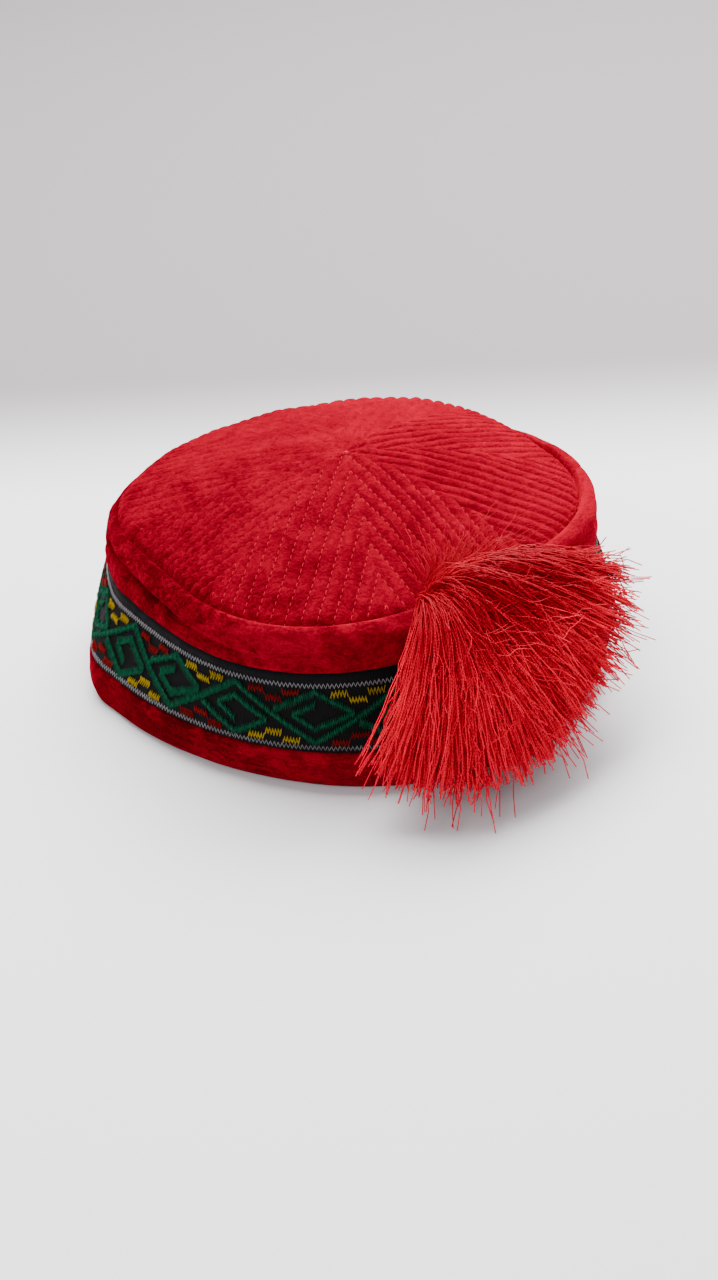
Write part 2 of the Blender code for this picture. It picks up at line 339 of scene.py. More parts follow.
class TUBETEIKA_PG_colours(bpy.types.PropertyGroup):
    """Colours of the cap's finishes."""
    # The velvets are mixed from deep to bright by crush patches and tufts, and by painted light and
    # shade across the cap.
    velvet_deep: tint(
        "Velvet, deep", "Velvet whose pile stands towards the eye", (0.040, 0.0, 0.0016))
    velvet_bright: tint("Velvet, bright", "Velvet whose pile lies flat", (0.27, 0.0002, 0.0120))
    velvet_sheen: tint("Velvet, sheen", "Tint of the velvet's sheen", (1.0, 0.006, 0.05))
    backing: tint("Backing", "Plain cloth behind the velvet", (0.12, 0.003, 0.005))
    quilting: tint("Quilting thread", "Thread of the crown's stitches", (0.44, 0.004, 0.018))
    ribbon: tint("Ribbon", "Ground of the ribbon", (0.0026, 0.0024, 0.0028))
    white: tint("White thread", "Thread along the ribbon's edges", (0.25, 0.24, 0.25))
    green: tint("Green thread", "Thread of the figures", (0.0020, 0.062, 0.028))
    yellow: tint("Yellow thread", "Thread of the yellow blocks", (0.30, 0.20, 0.003))
    red: tint("Red thread", "Thread of the red blocks", (0.17, 0.002, 0.002))
    # The silk is mixed from deep to bright by each strand's own tone, and by painted glints, painted
    # shade and painted light.
    silk_deep: tint("Silk, deep", "Darker strands of the tassel", (0.28, 0.0, 0.0080))
    silk_bright: tint("Silk, bright", "Brighter strands of the tassel", (0.78, 0.0, 0.0260))


class TUBETEIKA_PG_studio(bpy.types.PropertyGroup):
    """Camera, light and floor."""
    camera_place: FloatVectorProperty(
        name="Camera", description="Place of the camera", default=(0.001813, -0.756570, 0.448730),
        subtype="TRANSLATION", precision=5)
    camera_pitch: angle("Pitch", "How far the camera looks down", 30.577)
    camera_roll: angle("Roll", "How far the camera leans", -2.94)
    focal_length: FloatProperty(
        name="Focal length", description="Focal length in millimetres", default=67.5)
    sky: FloatProperty(name="Sky", description="Strength of the even light", default=0.60)
    top_light: FloatProperty(
        name="Top light", description="Power of the light above", default=47.0, unit="POWER")
    back_light: FloatProperty(
        name="Back light", description="Power of the light behind", default=38.0, unit="POWER")
    front_light: FloatProperty(
        name="Front light", description="Power of the faint light in front", default=12.0,
        unit="POWER")
    floor: tint("Floor", "Colour of the floor round the cap", (0.745, 0.735, 0.755))
    # Painted shade: the floor is darkened towards this colour well behind the cap.
    shaded_far_floor: tint("Far floor", "Colour of the floor well behind the cap", (0.212, 0.190, 0.202))
    fade_start: metres(
        "Fade start", "Distance behind the cap at which the floor starts to darken", 0.110)
    fade_end: metres("Fade end", "Distance behind the cap at which the floor is darkest", 0.250)


SETTINGS = {
    "tubeteika_cap": TUBETEIKA_PG_cap,
    "tubeteika_quilt": TUBETEIKA_PG_quilt,
    "tubeteika_ribbon": TUBETEIKA_PG_ribbon,
    "tubeteika_tassel": TUBETEIKA_PG_tassel,
    "tubeteika_colours": TUBETEIKA_PG_colours,
    "tubeteika_studio": TUBETEIKA_PG_studio,
}


# Node trees

def live_socket(sockets, key):
    """A socket in use, by its name or by its number among those in use."""
    shown = [socket for socket in sockets if socket.enabled]
    if isinstance(key, int):
        return shown[key]
    return next(socket for socket in shown if socket.name == key)


def set_inputs(tree, node, inputs):
    """Link or set a node's inputs, which are given by name or number."""
    for key, value in inputs.items():
        socket = live_socket(node.inputs, key)
        if isinstance(value, bpy.types.Node):
            value = live_socket(value.outputs, 0)
        if isinstance(value, bpy.types.NodeSocket):
            tree.links.new(value, socket)
        else:
            socket.default_value = value


def add_node(tree, kind, inputs=None, **settings):
    """Add a node, set it up, and link or set its inputs."""
    node = tree.nodes.new(kind)
    for setting, value in settings.items():
        setattr(node, setting, value)
    set_inputs(tree, node, inputs or {})
    return node


def add_maths(tree, operation, *values):
    """A sum of numbers."""
    return add_node(tree, "ShaderNodeMath", dict(enumerate(values)), operation=operation)


def add_vector_maths(tree, operation, *values):
    """A sum of vectors."""
    return add_node(tree, "ShaderNodeVectorMath", dict(enumerate(values)), operation=operation)


def add_product(tree, first, second):
    """The product of two numbers."""
    return add_maths(tree, "MULTIPLY", first, second)


def add_attribute(tree, name, data_type="FLOAT"):
    """An attribute of the geometry, by its name."""
    return add_node(tree, "GeometryNodeInputNamedAttribute", {"Name": name}, data_type=data_type)


def add_random(tree, low, high, seed, index=None):
    """A random number or vector between two limits, for each index."""
    inputs = {"Min": low, "Max": high, "Seed": seed}
    if index is not None:
        inputs["ID"] = index
    data_type = "FLOAT_VECTOR" if isinstance(low, tuple) else "FLOAT"
    return add_node(tree, "FunctionNodeRandomValue", inputs, data_type=data_type)


def add_move(tree, geometry, offset):
    """Move each point of a geometry."""
    return add_node(tree, "GeometryNodeSetPosition", {"Geometry": geometry, "Offset": offset})


def add_store(tree, geometry, name, value, data_type="FLOAT", domain="POINT"):
    """Keep a value as an attribute of a geometry."""
    return add_node(
        tree, "GeometryNodeStoreNamedAttribute", {"Geometry": geometry, "Name": name, "Value": value},
        data_type=data_type, domain=domain)


def new_geometry_tree(name, sizes):
    """A geometry tree with an input for each named size, and its input node."""
    tree = bpy.data.node_groups.new(name, "GeometryNodeTree")
    tree.interface.new_socket("Geometry", in_out="INPUT", socket_type="NodeSocketGeometry")
    for label, default in sizes.items():
        kind = "NodeSocketInt" if isinstance(default, int) else "NodeSocketFloat"
        socket = tree.interface.new_socket(label, in_out="INPUT", socket_type=kind)
        socket.default_value = default
    tree.interface.new_socket("Material", in_out="INPUT", socket_type="NodeSocketMaterial")
    tree.interface.new_socket("Geometry", in_out="OUTPUT", socket_type="NodeSocketGeometry")
    return tree, tree.nodes.new("NodeGroupInput")


def end_geometry_tree(tree, source, geometry):
    """End a tree in real, smooth geometry with its material."""
    real = add_node(tree, "GeometryNodeRealizeInstances", {0: geometry})
    smooth = add_node(tree, "GeometryNodeSetShadeSmooth", {0: real})
    finish = add_node(
        tree, "GeometryNodeSetMaterial", {0: smooth, "Material": source.outputs["Material"]})
    add_node(tree, "NodeGroupOutput", {0: finish})
    return tree


def thread_along(tree, curve, radius):
    """A three-sided thread that follows a curve."""
    profile = add_node(tree, "GeometryNodeCurvePrimitiveCircle", {"Resolution": 3, "Radius": radius})
    return add_node(
        tree, "GeometryNodeCurveToMesh", {"Curve": curve, "Profile Curve": profile, "Fill Caps": True})


def zigzag_tree():
    """One thread that runs up and down across each guide, as a sewing machine lays it."""
    tree, source = new_geometry_tree("Zigzag thread", {
        "Step": 0.0007, "Reach": 0.0010, "Lift": 0.0001, "Puff": 0.0002, "Thread radius": 0.0002,
        "Unevenness": 0.15, "Seed": 1,
    })
    sizes = source.outputs
    guide = add_node(tree, "GeometryNodeMeshToCurve", {0: sizes["Geometry"]})
    line = add_node(
        tree, "GeometryNodeResampleCurve", {"Curve": guide, "Length": sizes["Step"]}, mode="LENGTH")
    index = add_node(tree, "GeometryNodeInputIndex")
    side = add_maths(tree, "MULTIPLY_ADD", add_maths(tree, "FLOORED_MODULO", index, 2.0), 2.0, -1.0)
    uneven = add_random(tree, -1.0, 1.0, sizes["Seed"], index)
    stretch = add_maths(tree, "MULTIPLY_ADD", uneven, sizes["Unevenness"], 1.0)
    reach = add_product(tree, add_product(tree, side, sizes["Reach"]), stretch)
    across = add_vector_maths(tree, "SCALE", add_attribute(tree, "up", "FLOAT_VECTOR"), reach)
    lift = add_maths(
        tree, "MULTIPLY_ADD", add_product(tree, uneven, sizes["Thread radius"]), 0.5, sizes["Lift"])
    out = add_attribute(tree, "out", "FLOAT_VECTOR")
    away = add_vector_maths(tree, "SCALE", out, lift)
    placed = add_move(tree, line, add_vector_maths(tree, "ADD", across, away))
    halved = add_node(tree, "GeometryNodeSubdivideCurve", {"Curve": placed, "Cuts": 1})
    middle = add_maths(tree, "FLOORED_MODULO", add_node(tree, "GeometryNodeInputIndex"), 2.0)
    puff = add_vector_maths(tree, "SCALE", out, add_product(tree, middle, sizes["Puff"]))
    raised = add_move(tree, halved, puff)
    return end_geometry_tree(tree, source, thread_along(tree, raised, sizes["Thread radius"]))


def stitch_points(tree, source, shift):
    """Places for the stitches of a guide, and how each is turned: along it, and standing out."""
    sizes = source.outputs
    guide = add_node(tree, "GeometryNodeMeshToCurve", {0: sizes["Geometry"]})
    line = add_node(
        tree, "GeometryNodeResampleCurve", {"Curve": guide, "Length": sizes["Spacing"]},
        mode="LENGTH")
    tangent = add_node(tree, "GeometryNodeInputTangent")
    step = add_vector_maths(tree, "SCALE", tangent, add_product(tree, sizes["Spacing"], shift))
    turned = add_node(
        tree, "FunctionNodeAxesToRotation",
        {0: add_attribute(tree, "out", "FLOAT_VECTOR"), 1: tangent},
        primary_axis="Z", secondary_axis="X")
    kept = add_store(tree, line, "stitch_turn", turned, "QUATERNION")
    return add_move(tree, kept, step), add_attribute(tree, "stitch_turn", "QUATERNION")


def running_stitch_tree():
    """Short arched stitches, one after another along each guide."""
    tree, source = new_geometry_tree("Running stitch", {
        "Spacing": 0.0030, "Length": 0.0022, "Thread radius": 0.0002, "Unevenness": 0.12, "Seed": 1,
    })
    sizes = source.outputs
    placed, turned = stitch_points(tree, source, 0.0)
    arch = add_node(
        tree, "GeometryNodeCurveQuadraticBezier",
        {"Resolution": 4, "Start": (-0.5, 0.0, -0.12), "Middle": (0.0, 0.0, 0.16),
         "End": (0.5, 0.0, -0.12)})
    scale = add_node(tree, "ShaderNodeCombineXYZ", {axis: sizes["Length"] for axis in range(3)})
    sized = add_node(tree, "GeometryNodeTransform", {"Geometry": arch, "Scale": scale})
    stitch = thread_along(tree, sized, sizes["Thread radius"])
    smallest = add_maths(tree, "SUBTRACT", 1.0, sizes["Unevenness"])
    largest = add_maths(tree, "ADD", 1.0, sizes["Unevenness"])
    uneven = add_random(tree, smallest, largest, sizes["Seed"])
    stitches = add_node(
        tree, "GeometryNodeInstanceOnPoints",
        {"Points": placed, "Instance": stitch, "Rotation": turned, "Scale": uneven})
    return end_geometry_tree(tree, source, stitches)


def needle_hole_tree():
    """Small sunk holes between the stitches of each guide."""
    tree, source = new_geometry_tree("Needle holes", {"Spacing": 0.0030, "Hole radius": 0.0003})
    sizes = source.outputs
    placed, turned = stitch_points(tree, source, 0.5)
    bottom, depth, drop = (
        add_product(tree, sizes["Hole radius"], share) for share in (0.45, 1.6, -1.35)
    )
    cup = add_node(
        tree, "GeometryNodeMeshCone",
        {"Vertices": 6, "Radius Top": sizes["Hole radius"], "Radius Bottom": bottom, "Depth": depth})
    sunk = add_node(
        tree, "GeometryNodeTransform",
        {"Geometry": cup, "Translation": add_node(tree, "ShaderNodeCombineXYZ", {2: drop})})
    holes = add_node(
        tree, "GeometryNodeInstanceOnPoints", {"Points": placed, "Instance": sunk, "Rotation": turned})
    return end_geometry_tree(tree, source, holes)


def rib_relief_tree():
    """Puffed ribs between stitch lines, on a surface that knows its distance from them."""
    tree, source = new_geometry_tree("Rib relief", {
        "Rib pitch": 0.0050, "Rib height": 0.0010, "Fullness": 0.6,
    })
    sizes = source.outputs
    phase = add_product(
        tree, math.pi, add_maths(tree, "DIVIDE", add_attribute(tree, "across"), sizes["Rib pitch"]))
    ridge = add_maths(tree, "ABSOLUTE", add_maths(tree, "SINE", phase))
    puffed = add_maths(tree, "SUBTRACT", add_maths(tree, "POWER", ridge, sizes["Fullness"]), 0.6)
    height = add_product(
        tree, add_product(tree, puffed, sizes["Rib height"]), add_attribute(tree, "fade"))
    up = add_node(tree, "ShaderNodeCombineXYZ", {2: height})
    return end_geometry_tree(tree, source, add_move(tree, sizes["Geometry"], up))


def silk_strand_tree():
    """Loose strands that follow each guide, wander apart towards their tips, and end unevenly."""
    tree, source = new_geometry_tree("Silk strands", {
        "Copies": 5, "Points": 10, "Thread radius": 0.0002, "Wander": 0.0012, "Wander size": 0.014,
        "Shortest": 0.86, "Seed": 1,
    })
    sizes = source.outputs
    guide = add_node(tree, "GeometryNodeMeshToCurve", {0: sizes["Geometry"]})
    copies = add_node(
        tree, "GeometryNodeDuplicateElements", {"Geometry": guide, "Amount": sizes["Copies"]},
        domain="SPLINE")
    index = add_node(tree, "GeometryNodeInputIndex")
    scatter = add_random(tree, (-1.0, -1.0, -1.0), (1.0, 1.0, 1.0), sizes["Seed"], index)
    drift = add_node(
        tree, "GeometryNodeFieldOnDomain", {0: scatter}, data_type="FLOAT_VECTOR", domain="CURVE")
    spread = add_vector_maths(tree, "SCALE", drift, add_attribute(tree, "spread"))
    along = add_node(tree, "GeometryNodeSplineParameter")
    place = add_node(tree, "GeometryNodeInputPosition")
    moved = add_vector_maths(tree, "ADD", place, add_vector_maths(tree, "SCALE", drift, 0.35))
    waves = add_node(
        tree, "ShaderNodeTexNoise",
        {"Vector": moved, "Scale": add_maths(tree, "DIVIDE", 1.0, sizes["Wander size"]),
         "Detail": 1.0})
    swing = add_product(tree, sizes["Wander"], add_product(tree, along.outputs["Factor"], 4.0))
    wave = add_vector_maths(
        tree, "SCALE", add_vector_maths(tree, "SUBTRACT", waves.outputs["Color"], (0.5, 0.5, 0.5)),
        swing)
    apart = add_move(tree, copies, add_vector_maths(tree, "ADD", spread, wave))
    length = add_random(
        tree, sizes["Shortest"], 1.0, add_maths(tree, "ADD", sizes["Seed"], 1.0), index)
    cut = add_node(tree, "GeometryNodeTrimCurve", {"Curve": apart, "End": length}, mode="FACTOR")
    line = add_node(
        tree, "GeometryNodeResampleCurve", {"Curve": cut, "Count": sizes["Points"]}, mode="COUNT")
    run = add_store(tree, line, "strand_run", along.outputs["Length"])
    tone = add_random(tree, 0.0, 1.0, add_maths(tree, "ADD", sizes["Seed"], 2.0), index)
    toned = add_store(tree, run, "strand_tone", tone, domain="CURVE")
    return end_geometry_tree(tree, source, thread_along(tree, toned, sizes["Thread radius"]))


# Objects and meshes

def new_object(name, data):
    """An object in the scene."""
    item = bpy.data.objects.new(name, data)
    bpy.context.scene.collection.objects.link(item)
    return item


def take_mesh(bm, name):
    """The mesh of a built shape, which is then let go."""
    mesh = bpy.data.meshes.new(name)
    bm.to_mesh(mesh)
    bm.free()
    return mesh


def join_rings(bm, rings):
    """Smooth faces between closed rings that stand side by side round the cap. It gives each face
    with its column, its row and the row above."""
    for column, ring in enumerate(rings):
        after = rings[(column + 1) % len(rings)]
        for row in range(len(ring)):
            above = (row + 1) % len(ring)
            face = bm.faces.new((ring[row], after[row], after[above], ring[above]))
            face.smooth = True
            yield face, column, row, above


def guide_object(name, paths, kinds):
    """Edges along paths, for a geometry tree to build on. Each row of a path is its place and then
    one value for each of the named kinds of attribute."""
    rows = [row for path in paths for row in path]
    edges = []
    start = 0
    for path in paths:
        edges.extend((start + step, start + step + 1) for step in range(len(path) - 1))
        start += len(path)
    mesh = bpy.data.meshes.new(name)
    mesh.from_pydata([row[0] for row in rows], edges, [])
    for column, (label, kind) in enumerate(kinds.items(), 1):
        attribute = mesh.attributes.new(label, kind, "POINT")
        if kind == "FLOAT_VECTOR":
            attribute.data.foreach_set("vector", [part for row in rows for part in row[column]])
        else:
            attribute.data.foreach_set("value", [row[column] for row in rows])
    return new_object(name, mesh)


def grow(guide, tree, values):
    """Run a geometry tree on a guide, take the result as a plain mesh, and drop the guide."""
    modifier = guide.modifiers.new(tree.name, "NODES")
    modifier.node_group = tree
    for socket in tree.interface.items_tree:
        if socket.in_out == "INPUT" and socket.name in values:
            modifier[socket.identifier] = values[socket.name]
    evaluated = guide.evaluated_get(bpy.context.evaluated_depsgraph_get())
    mesh = bpy.data.meshes.new_from_object(evaluated)
    source = guide.data
    bpy.data.objects.remove(guide)
    bpy.data.meshes.remove(source)
    return mesh


def make_piece(name, mesh, nodes, materials=()):
    """An object that rides on the cap, in place of its CAD nodes."""
    for material in materials:
        mesh.materials.append(material)
    mesh.name = name
    piece = new_object(name, mesh)
    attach(piece, BODY)
    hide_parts(*nodes)
    return piece


# Shape of the cap, in the way that its CAD source gives it

def near_turn(turn, middle, half_turn):
    """1 at a middle turn and fading to 0 beside it, with the middle and half turn in degrees."""
    away = (math.degrees(turn) - middle + 180.0) % 360.0 - 180.0
    return math.exp(-((away / half_turn) ** 2))


def cap_point(cap, turn, radius, height):
    """Place a point of the plainly round cap on the soft, leaning shape of the real one."""
    climb = min(height / cap.seam_height, 1.0)
    reach = min(radius / cap.seam_radius, 1.0) ** 2
    lobe = sum(
        (hem * (1.0 - climb) + top * climb) * math.cos(count * (turn - math.radians(peak)))
        for count, hem, top, peak in PLAN_LOBES
    )
    lobe += (1.0 - climb) * sum(
        depth * near_turn(turn, middle, half_turn) for middle, half_turn, depth in HEM_CORNERS
    )
    soft_radius = radius + reach * cap.hem_radius * lobe
    x = soft_radius * math.cos(turn)
    wave = cap.top_wave * reach * math.cos(3 * (turn - cap.top_wave_turn))
    sag = cap.top_sag * reach * near_turn(turn, math.degrees(cap.top_sag_turn), SAG_HALF_TURN)
    return Vector((
        x,
        soft_radius * math.sin(turn) + cap.top_lean * climb,
        height + climb * (x * math.tan(cap.top_tilt) + wave - sag),
    ))


def soft_value(table, place):
    """Smooth value of a table of rising (place, value) rows."""
    if place <= table[0][0]:
        return table[0][1]
    for index in range(len(table) - 1):
        (start, low), (end, high) = table[index], table[index + 1]
        if place > end:
            continue
        before, after = table[max(index - 1, 0)], table[min(index + 2, len(table) - 1)]
        share = (place - start) / (end - start)
        rise_in = (high - before[1]) / (end - before[0]) * (end - start)
        rise_out = (after[1] - low) / (after[0] - start) * (end - start)
        return (
            low * (1 + 2 * share) * (1 - share) ** 2 + rise_in * share * (1 - share) ** 2
            + high * share ** 2 * (3 - 2 * share) + rise_out * share ** 2 * (share - 1)
        )
    return table[-1][1]


def skin_table(cap):
    """Heights and outer radii of the plainly round wall and its roll."""
    shoulder = cap.seam_radius + cap.roll_width
    inwards = shoulder - cap.hem_radius
    wall = [
        (cap.seam_height * share, cap.hem_radius + inwards * lean + cap.hem_swell * swell)
        for share, lean, swell in WALL_LINE
    ]
    roll = [
        (cap.seam_height + cap.roll_width * rise, cap.seam_radius + cap.roll_width * reach)
        for rise, reach in ROLL_LINE[:4]
    ]
    return wall + roll


def roll_crest(cap):
    """Height and outer radius of the crest of the roll."""
    return max(skin_table(cap))


def smooth_rows(rows, steps):
    """Rows of a smooth line through the given rows of numbers."""
    line = []
    for index in range(len(rows) - 1):
        start, end = rows[index], rows[index + 1]
        before, after = rows[max(index - 1, 0)], rows[min(index + 2, len(rows) - 1)]
        for step in range(steps):
            share = step / steps
            line.append(tuple(
                0.5 * (2 * b + (c - a) * share + (2 * a - 5 * b + 4 * c - d) * share ** 2
                       + (3 * b - a - 3 * c + d) * share ** 3)
                for a, b, c, d in zip(before, start, end, after)
            ))
    line.append(tuple(rows[-1]))
    return line


def facing(place, turn_step, rise_step):
    """Unit vector that stands out from a surface, from its steps round and up."""
    return (turn_step - place).cross(rise_step - place).normalized()


def uneven(place, size, depth):
    """A soft unevenness at a place, of a size and depth, with nothing random in it."""
    return depth * noise.noise(Vector(place) / size)


def back_share(turn):
    """0 where the roll shows round the crown, and 1 round the back, where the crown hides it."""
    degrees = math.degrees(turn) % 360.0
    start, full, late, end = LAP_TURNS
    share = min((degrees - start) / (full - start), (end - degrees) / (end - late), 1.0)
    share = max(share, 0.0)
    return share * share * (3.0 - 2.0 * share)


# Velvet wall

def wall_rows(cap):
    """Closed section of the wall as (radius, height, relief) rows, from the hem outwards and up to
    the seam, and down inside."""
    skin = skin_table(cap)
    outer = [
        (soft_value(skin, height) - inset, height, relief) for height, inset, relief in WALL_SECTION
    ]
    outer += [
        (cap.seam_radius + cap.roll_width * reach, cap.seam_height + cap.roll_width * rise, relief)
        for rise, reach, relief in ROLL_SECTION
    ]
    inner = [(cap.seam_radius - inset, cap.seam_height - drop, 0.0) for inset, drop in LIP_ROWS]
    for height in INNER_HEIGHTS:
        inner.append((soft_value(skin, height) - SEAT_DEPTH - cap.wall_thick, height, 0.0))
    return smooth_rows(outer, 5), smooth_rows(inner, 3)


def crease_depth(cap, turn, height):
    """Depth of the soft crease below the roll, puckered along its length."""
    degrees = math.degrees(turn)
    while degrees > -30.0:
        degrees -= 360.0
    if not WALL_CREASE[0][0] < degrees < WALL_CREASE[-1][0]:
        return 0.0
    line = soft_value([(row[0], row[1]) for row in WALL_CREASE], degrees)
    depth = soft_value([(row[0], row[2]) for row in WALL_CREASE], degrees)
    away = (height - line) / cap.crease_width
    pucker = 1.0 + 0.35 * math.sin(degrees * 2.9) * math.exp(-((away + 0.9) ** 2))
    return depth * (math.exp(-away ** 2) * pucker - 0.30 * math.exp(-((away - 2.2) ** 2))
                    - 0.22 * math.exp(-((away + 2.2) ** 2)))


def wall_dent(cap, turn, height, relief):
    """How far the velvet is pressed in at a place of the wall."""
    side = Vector((math.cos(turn), math.sin(turn), 0.0)) * cap.hem_radius
    broad = uneven(side + Vector((0, 0, height)), 0.011, 1.0)
    folds = uneven(side * 0.45 + Vector((0, 0, height * 2.2)), 0.0062, 0.8)
    fine = uneven(side + Vector((3, 0, height)), 0.0034, 0.35)
    return crease_depth(cap, turn, height) + relief * cap.crumple * (broad + folds + fine)


def make_velvet_wall(cap, materials):
    """The wall as one closed fold of velvet, with backing cloth inside."""
    outer, inner = wall_rows(cap)
    rows = outer + inner
    bm = bmesh.new()
    rings = []
    for step in range(COLUMNS):
        turn = 2.0 * math.pi * step / COLUMNS
        drop = cap.back_drop * back_share(turn)
        ring = []
        for radius, height, relief in rows:
            dent = wall_dent(cap, turn, height, relief) if relief > 0.0 else 0.0
            raised = min(max((height - DROP_START) / DROP_CLIMB, 0.0), 1.0)
            raised *= min(max((radius - cap.seam_radius + DROP_FADE) / DROP_FADE, 0.3), 1.0)
            ring.append(bm.verts.new(cap_point(cap, turn, radius - dent, height - drop * raised)))
        rings.append(ring)
    for face, _, row, _ in join_rings(bm, rings):
        face.material_index = 1 if row >= len(outer) + VELVET_LIP_ROWS else 0
    bmesh.ops.recalc_face_normals(bm, faces=bm.faces)
    mesh = take_mesh(bm, "velvet_wall")
    wall = make_piece("velvet_wall", mesh, ["side_wall"], materials)


# Quilted crown

def crown_rim(cap, quilt, turn):
    """Radius of the crown's edge, which laps over the roll at the back."""
    return cap.seam_radius - 0.0003 + quilt.back_reach * back_share(turn)


def crown_point(cap, quilt, border, across, along, lift=0.0):
    """A point of the crown's uneven dome, by its distances across and along from a border between
    sectors. The dome dips where it meets the roll, and stands up over it at the back."""
    radius = math.hypot(along, across)
    turn = border + math.atan2(across, along)
    rim = crown_rim(cap, quilt, turn)
    behind = back_share(turn)
    edge = math.exp(-(((rim - radius) / (0.0016 + 0.0010 * behind)) ** 2))
    dome = cap.crown_rise * (1.0 - min(radius / rim, 1.0) ** cap.dome_power)
    dome += quilt.back_lift * behind * (radius / rim) ** 4
    deeper = near_turn(turn, DIP_TURN, DIP_HALF_TURN)
    dome -= quilt.rim_dip * edge * (1.0 + 1.4 * behind + 1.1 * deeper)
    point = cap_point(cap, turn, radius, cap.seam_height + dome + lift)
    point.z += uneven(point, 0.017, 0.0008) + uneven(point, 0.0065, 0.00028)
    return point


def rib_share(cap, quilt, turn, radius):
    """How boldly the ribs show: faint at the left, bold elsewhere, and none in the middle."""
    away = (math.degrees(turn) + 180.0) % 360.0 - 180.0
    bold = FAINT_RIBS + (1.0 - FAINT_RIBS) * math.exp(-((away / BOLD_HALF_TURN) ** 4))
    edge = (crown_rim(cap, quilt, turn) - radius) / 0.0020 + 0.25 + 0.6 * back_share(turn)
    return bold * min(radius / quilt.rib_pitch, 1.0, edge)


def sector_borders(quilt):
    """Turns of the borders between the crown's sectors."""
    return [
        quilt.sector_turn + (sector + 0.5) * 2.0 * math.pi / quilt.sectors
        for sector in range(quilt.sectors)
    ]


def make_crown_base(cap, quilt):
    """The crown's dome, whose points know how far they lie from their sector's border."""
    half = math.pi / quilt.sectors
    steps = 56
    row_width = quilt.rib_pitch / 8.0
    bm = bmesh.new()
    across_layer = bm.verts.layers.float.new("across")
    fade_layer = bm.verts.layers.float.new("fade")
    for border in sector_borders(quilt):
        for side in (1.0, -1.0):
            grid = []
            middle_rim = crown_rim(cap, quilt, border + side * half)
            widest = middle_rim * math.sin(half)
            for row in range(math.ceil(widest / row_width) + 1):
                across = min(row * row_width, widest)
                start = across / math.tan(half)
                rim = crown_rim(cap, quilt, border + side * math.asin(across / middle_rim))
                end = math.sqrt(rim ** 2 - across ** 2)
                line = []
                for step in range(steps + 1):
                    along = start + (end - start) * step / steps
                    vert = bm.verts.new(crown_point(cap, quilt, border, side * across, along))
                    turn = border + side * math.atan2(across, along)
                    vert[across_layer] = across
                    vert[fade_layer] = rib_share(cap, quilt, turn, math.hypot(along, across))
                    line.append(vert)
                grid.append(line)
            for low, high in zip(grid, grid[1:]):
                for step in range(steps):
                    corners = [low[step], low[step + 1], high[step + 1], high[step]]
                    bm.faces.new(corners if side > 0.0 else corners[::-1])
    bmesh.ops.remove_doubles(bm, verts=bm.verts, dist=1e-5)
    bmesh.ops.dissolve_degenerate(bm, edges=bm.edges, dist=1e-6)
    bmesh.ops.recalc_face_normals(bm, faces=bm.faces)
    if sum(face.normal.z for face in bm.faces) < 0.0:
        bmesh.ops.reverse_faces(bm, faces=bm.faces)
    return new_object("crown_base", take_mesh(bm, "crown_base"))


def make_quilted_crown(cap, quilt, velvet, backing):
    """The ribbed crown as padded velvet, with backing cloth inside."""
    mesh = grow(make_crown_base(cap, quilt), rib_relief_tree(), {
        "Rib pitch": quilt.rib_pitch,
        "Rib height": quilt.rib_height,
        "Fullness": quilt.rib_fullness,
        "Material": velvet,
    })
    crown = make_piece("quilted_crown", mesh, ["crown"])
    crown.data.materials.append(backing)
    shell = crown.modifiers.new("padding", "SOLIDIFY")
    shell.thickness = cap.crown_thick
    shell.offset = -1.0
    shell.material_offset = 1
    shell.material_offset_rim = 0


def quilting_paths(cap, quilt):
    """Stitch lines of the crown, each from the middle of its sector or of the crown to the rim."""
    half = math.pi / quilt.sectors
    lines = int(cap.seam_radius * math.sin(half) / quilt.rib_pitch)
    paths = []
    for border in sector_borders(quilt):
        for line in range(-lines, lines + 1):
            across = line * quilt.rib_pitch
            start = abs(across) / math.tan(half) + 0.0008
            rim = crown_rim(cap, quilt, border + math.asin(across / cap.seam_radius)) - 0.0010
            end = math.sqrt(rim ** 2 - across ** 2)
            steps = max(int((end - start) / 0.002), 2)
            path = []
            for step in range(steps + 1):
                along = start + (end - start) * step / steps
                turn = border + math.atan2(across, along)
                sunk = -0.6 * quilt.rib_height * rib_share(cap, quilt, turn, math.hypot(along, across))
                sunk += 0.00016 * math.cos(turn - quilt.sector_turn) - 0.00002
                place = crown_point(cap, quilt, border, across, along, sunk)
                beside = crown_point(cap, quilt, border, across + 1e-3, along, sunk)
                ahead = crown_point(cap, quilt, border, across, along + 1e-3, sunk)
                path.append((place, facing(place, ahead, beside)))
            paths.append(path)
    return paths


def make_quilting(cap, quilt, thread, hole):
    """The stitches and the needle holes along the crown's stitch lines."""
    paths = quilting_paths(cap, quilt)
    kinds = {"out": "FLOAT_VECTOR"}
    stitches = grow(guide_object("stitch_guides", paths, kinds), running_stitch_tree(), {
        "Spacing": quilt.stitch_spacing,
        "Length": quilt.stitch_length,
        "Thread radius": quilt.thread_radius,
        "Material": thread,
    })
    make_piece("quilting_stitches", stitches, ["crown"])
    holes = grow(guide_object("hole_guides", paths, kinds), needle_hole_tree(), {
        "Spacing": quilt.stitch_spacing,
        "Hole radius": quilt.hole_radius,
        "Material": hole,
    })
    make_piece("needle_holes", holes, ["crown"])


# Ribbon and its embroidery

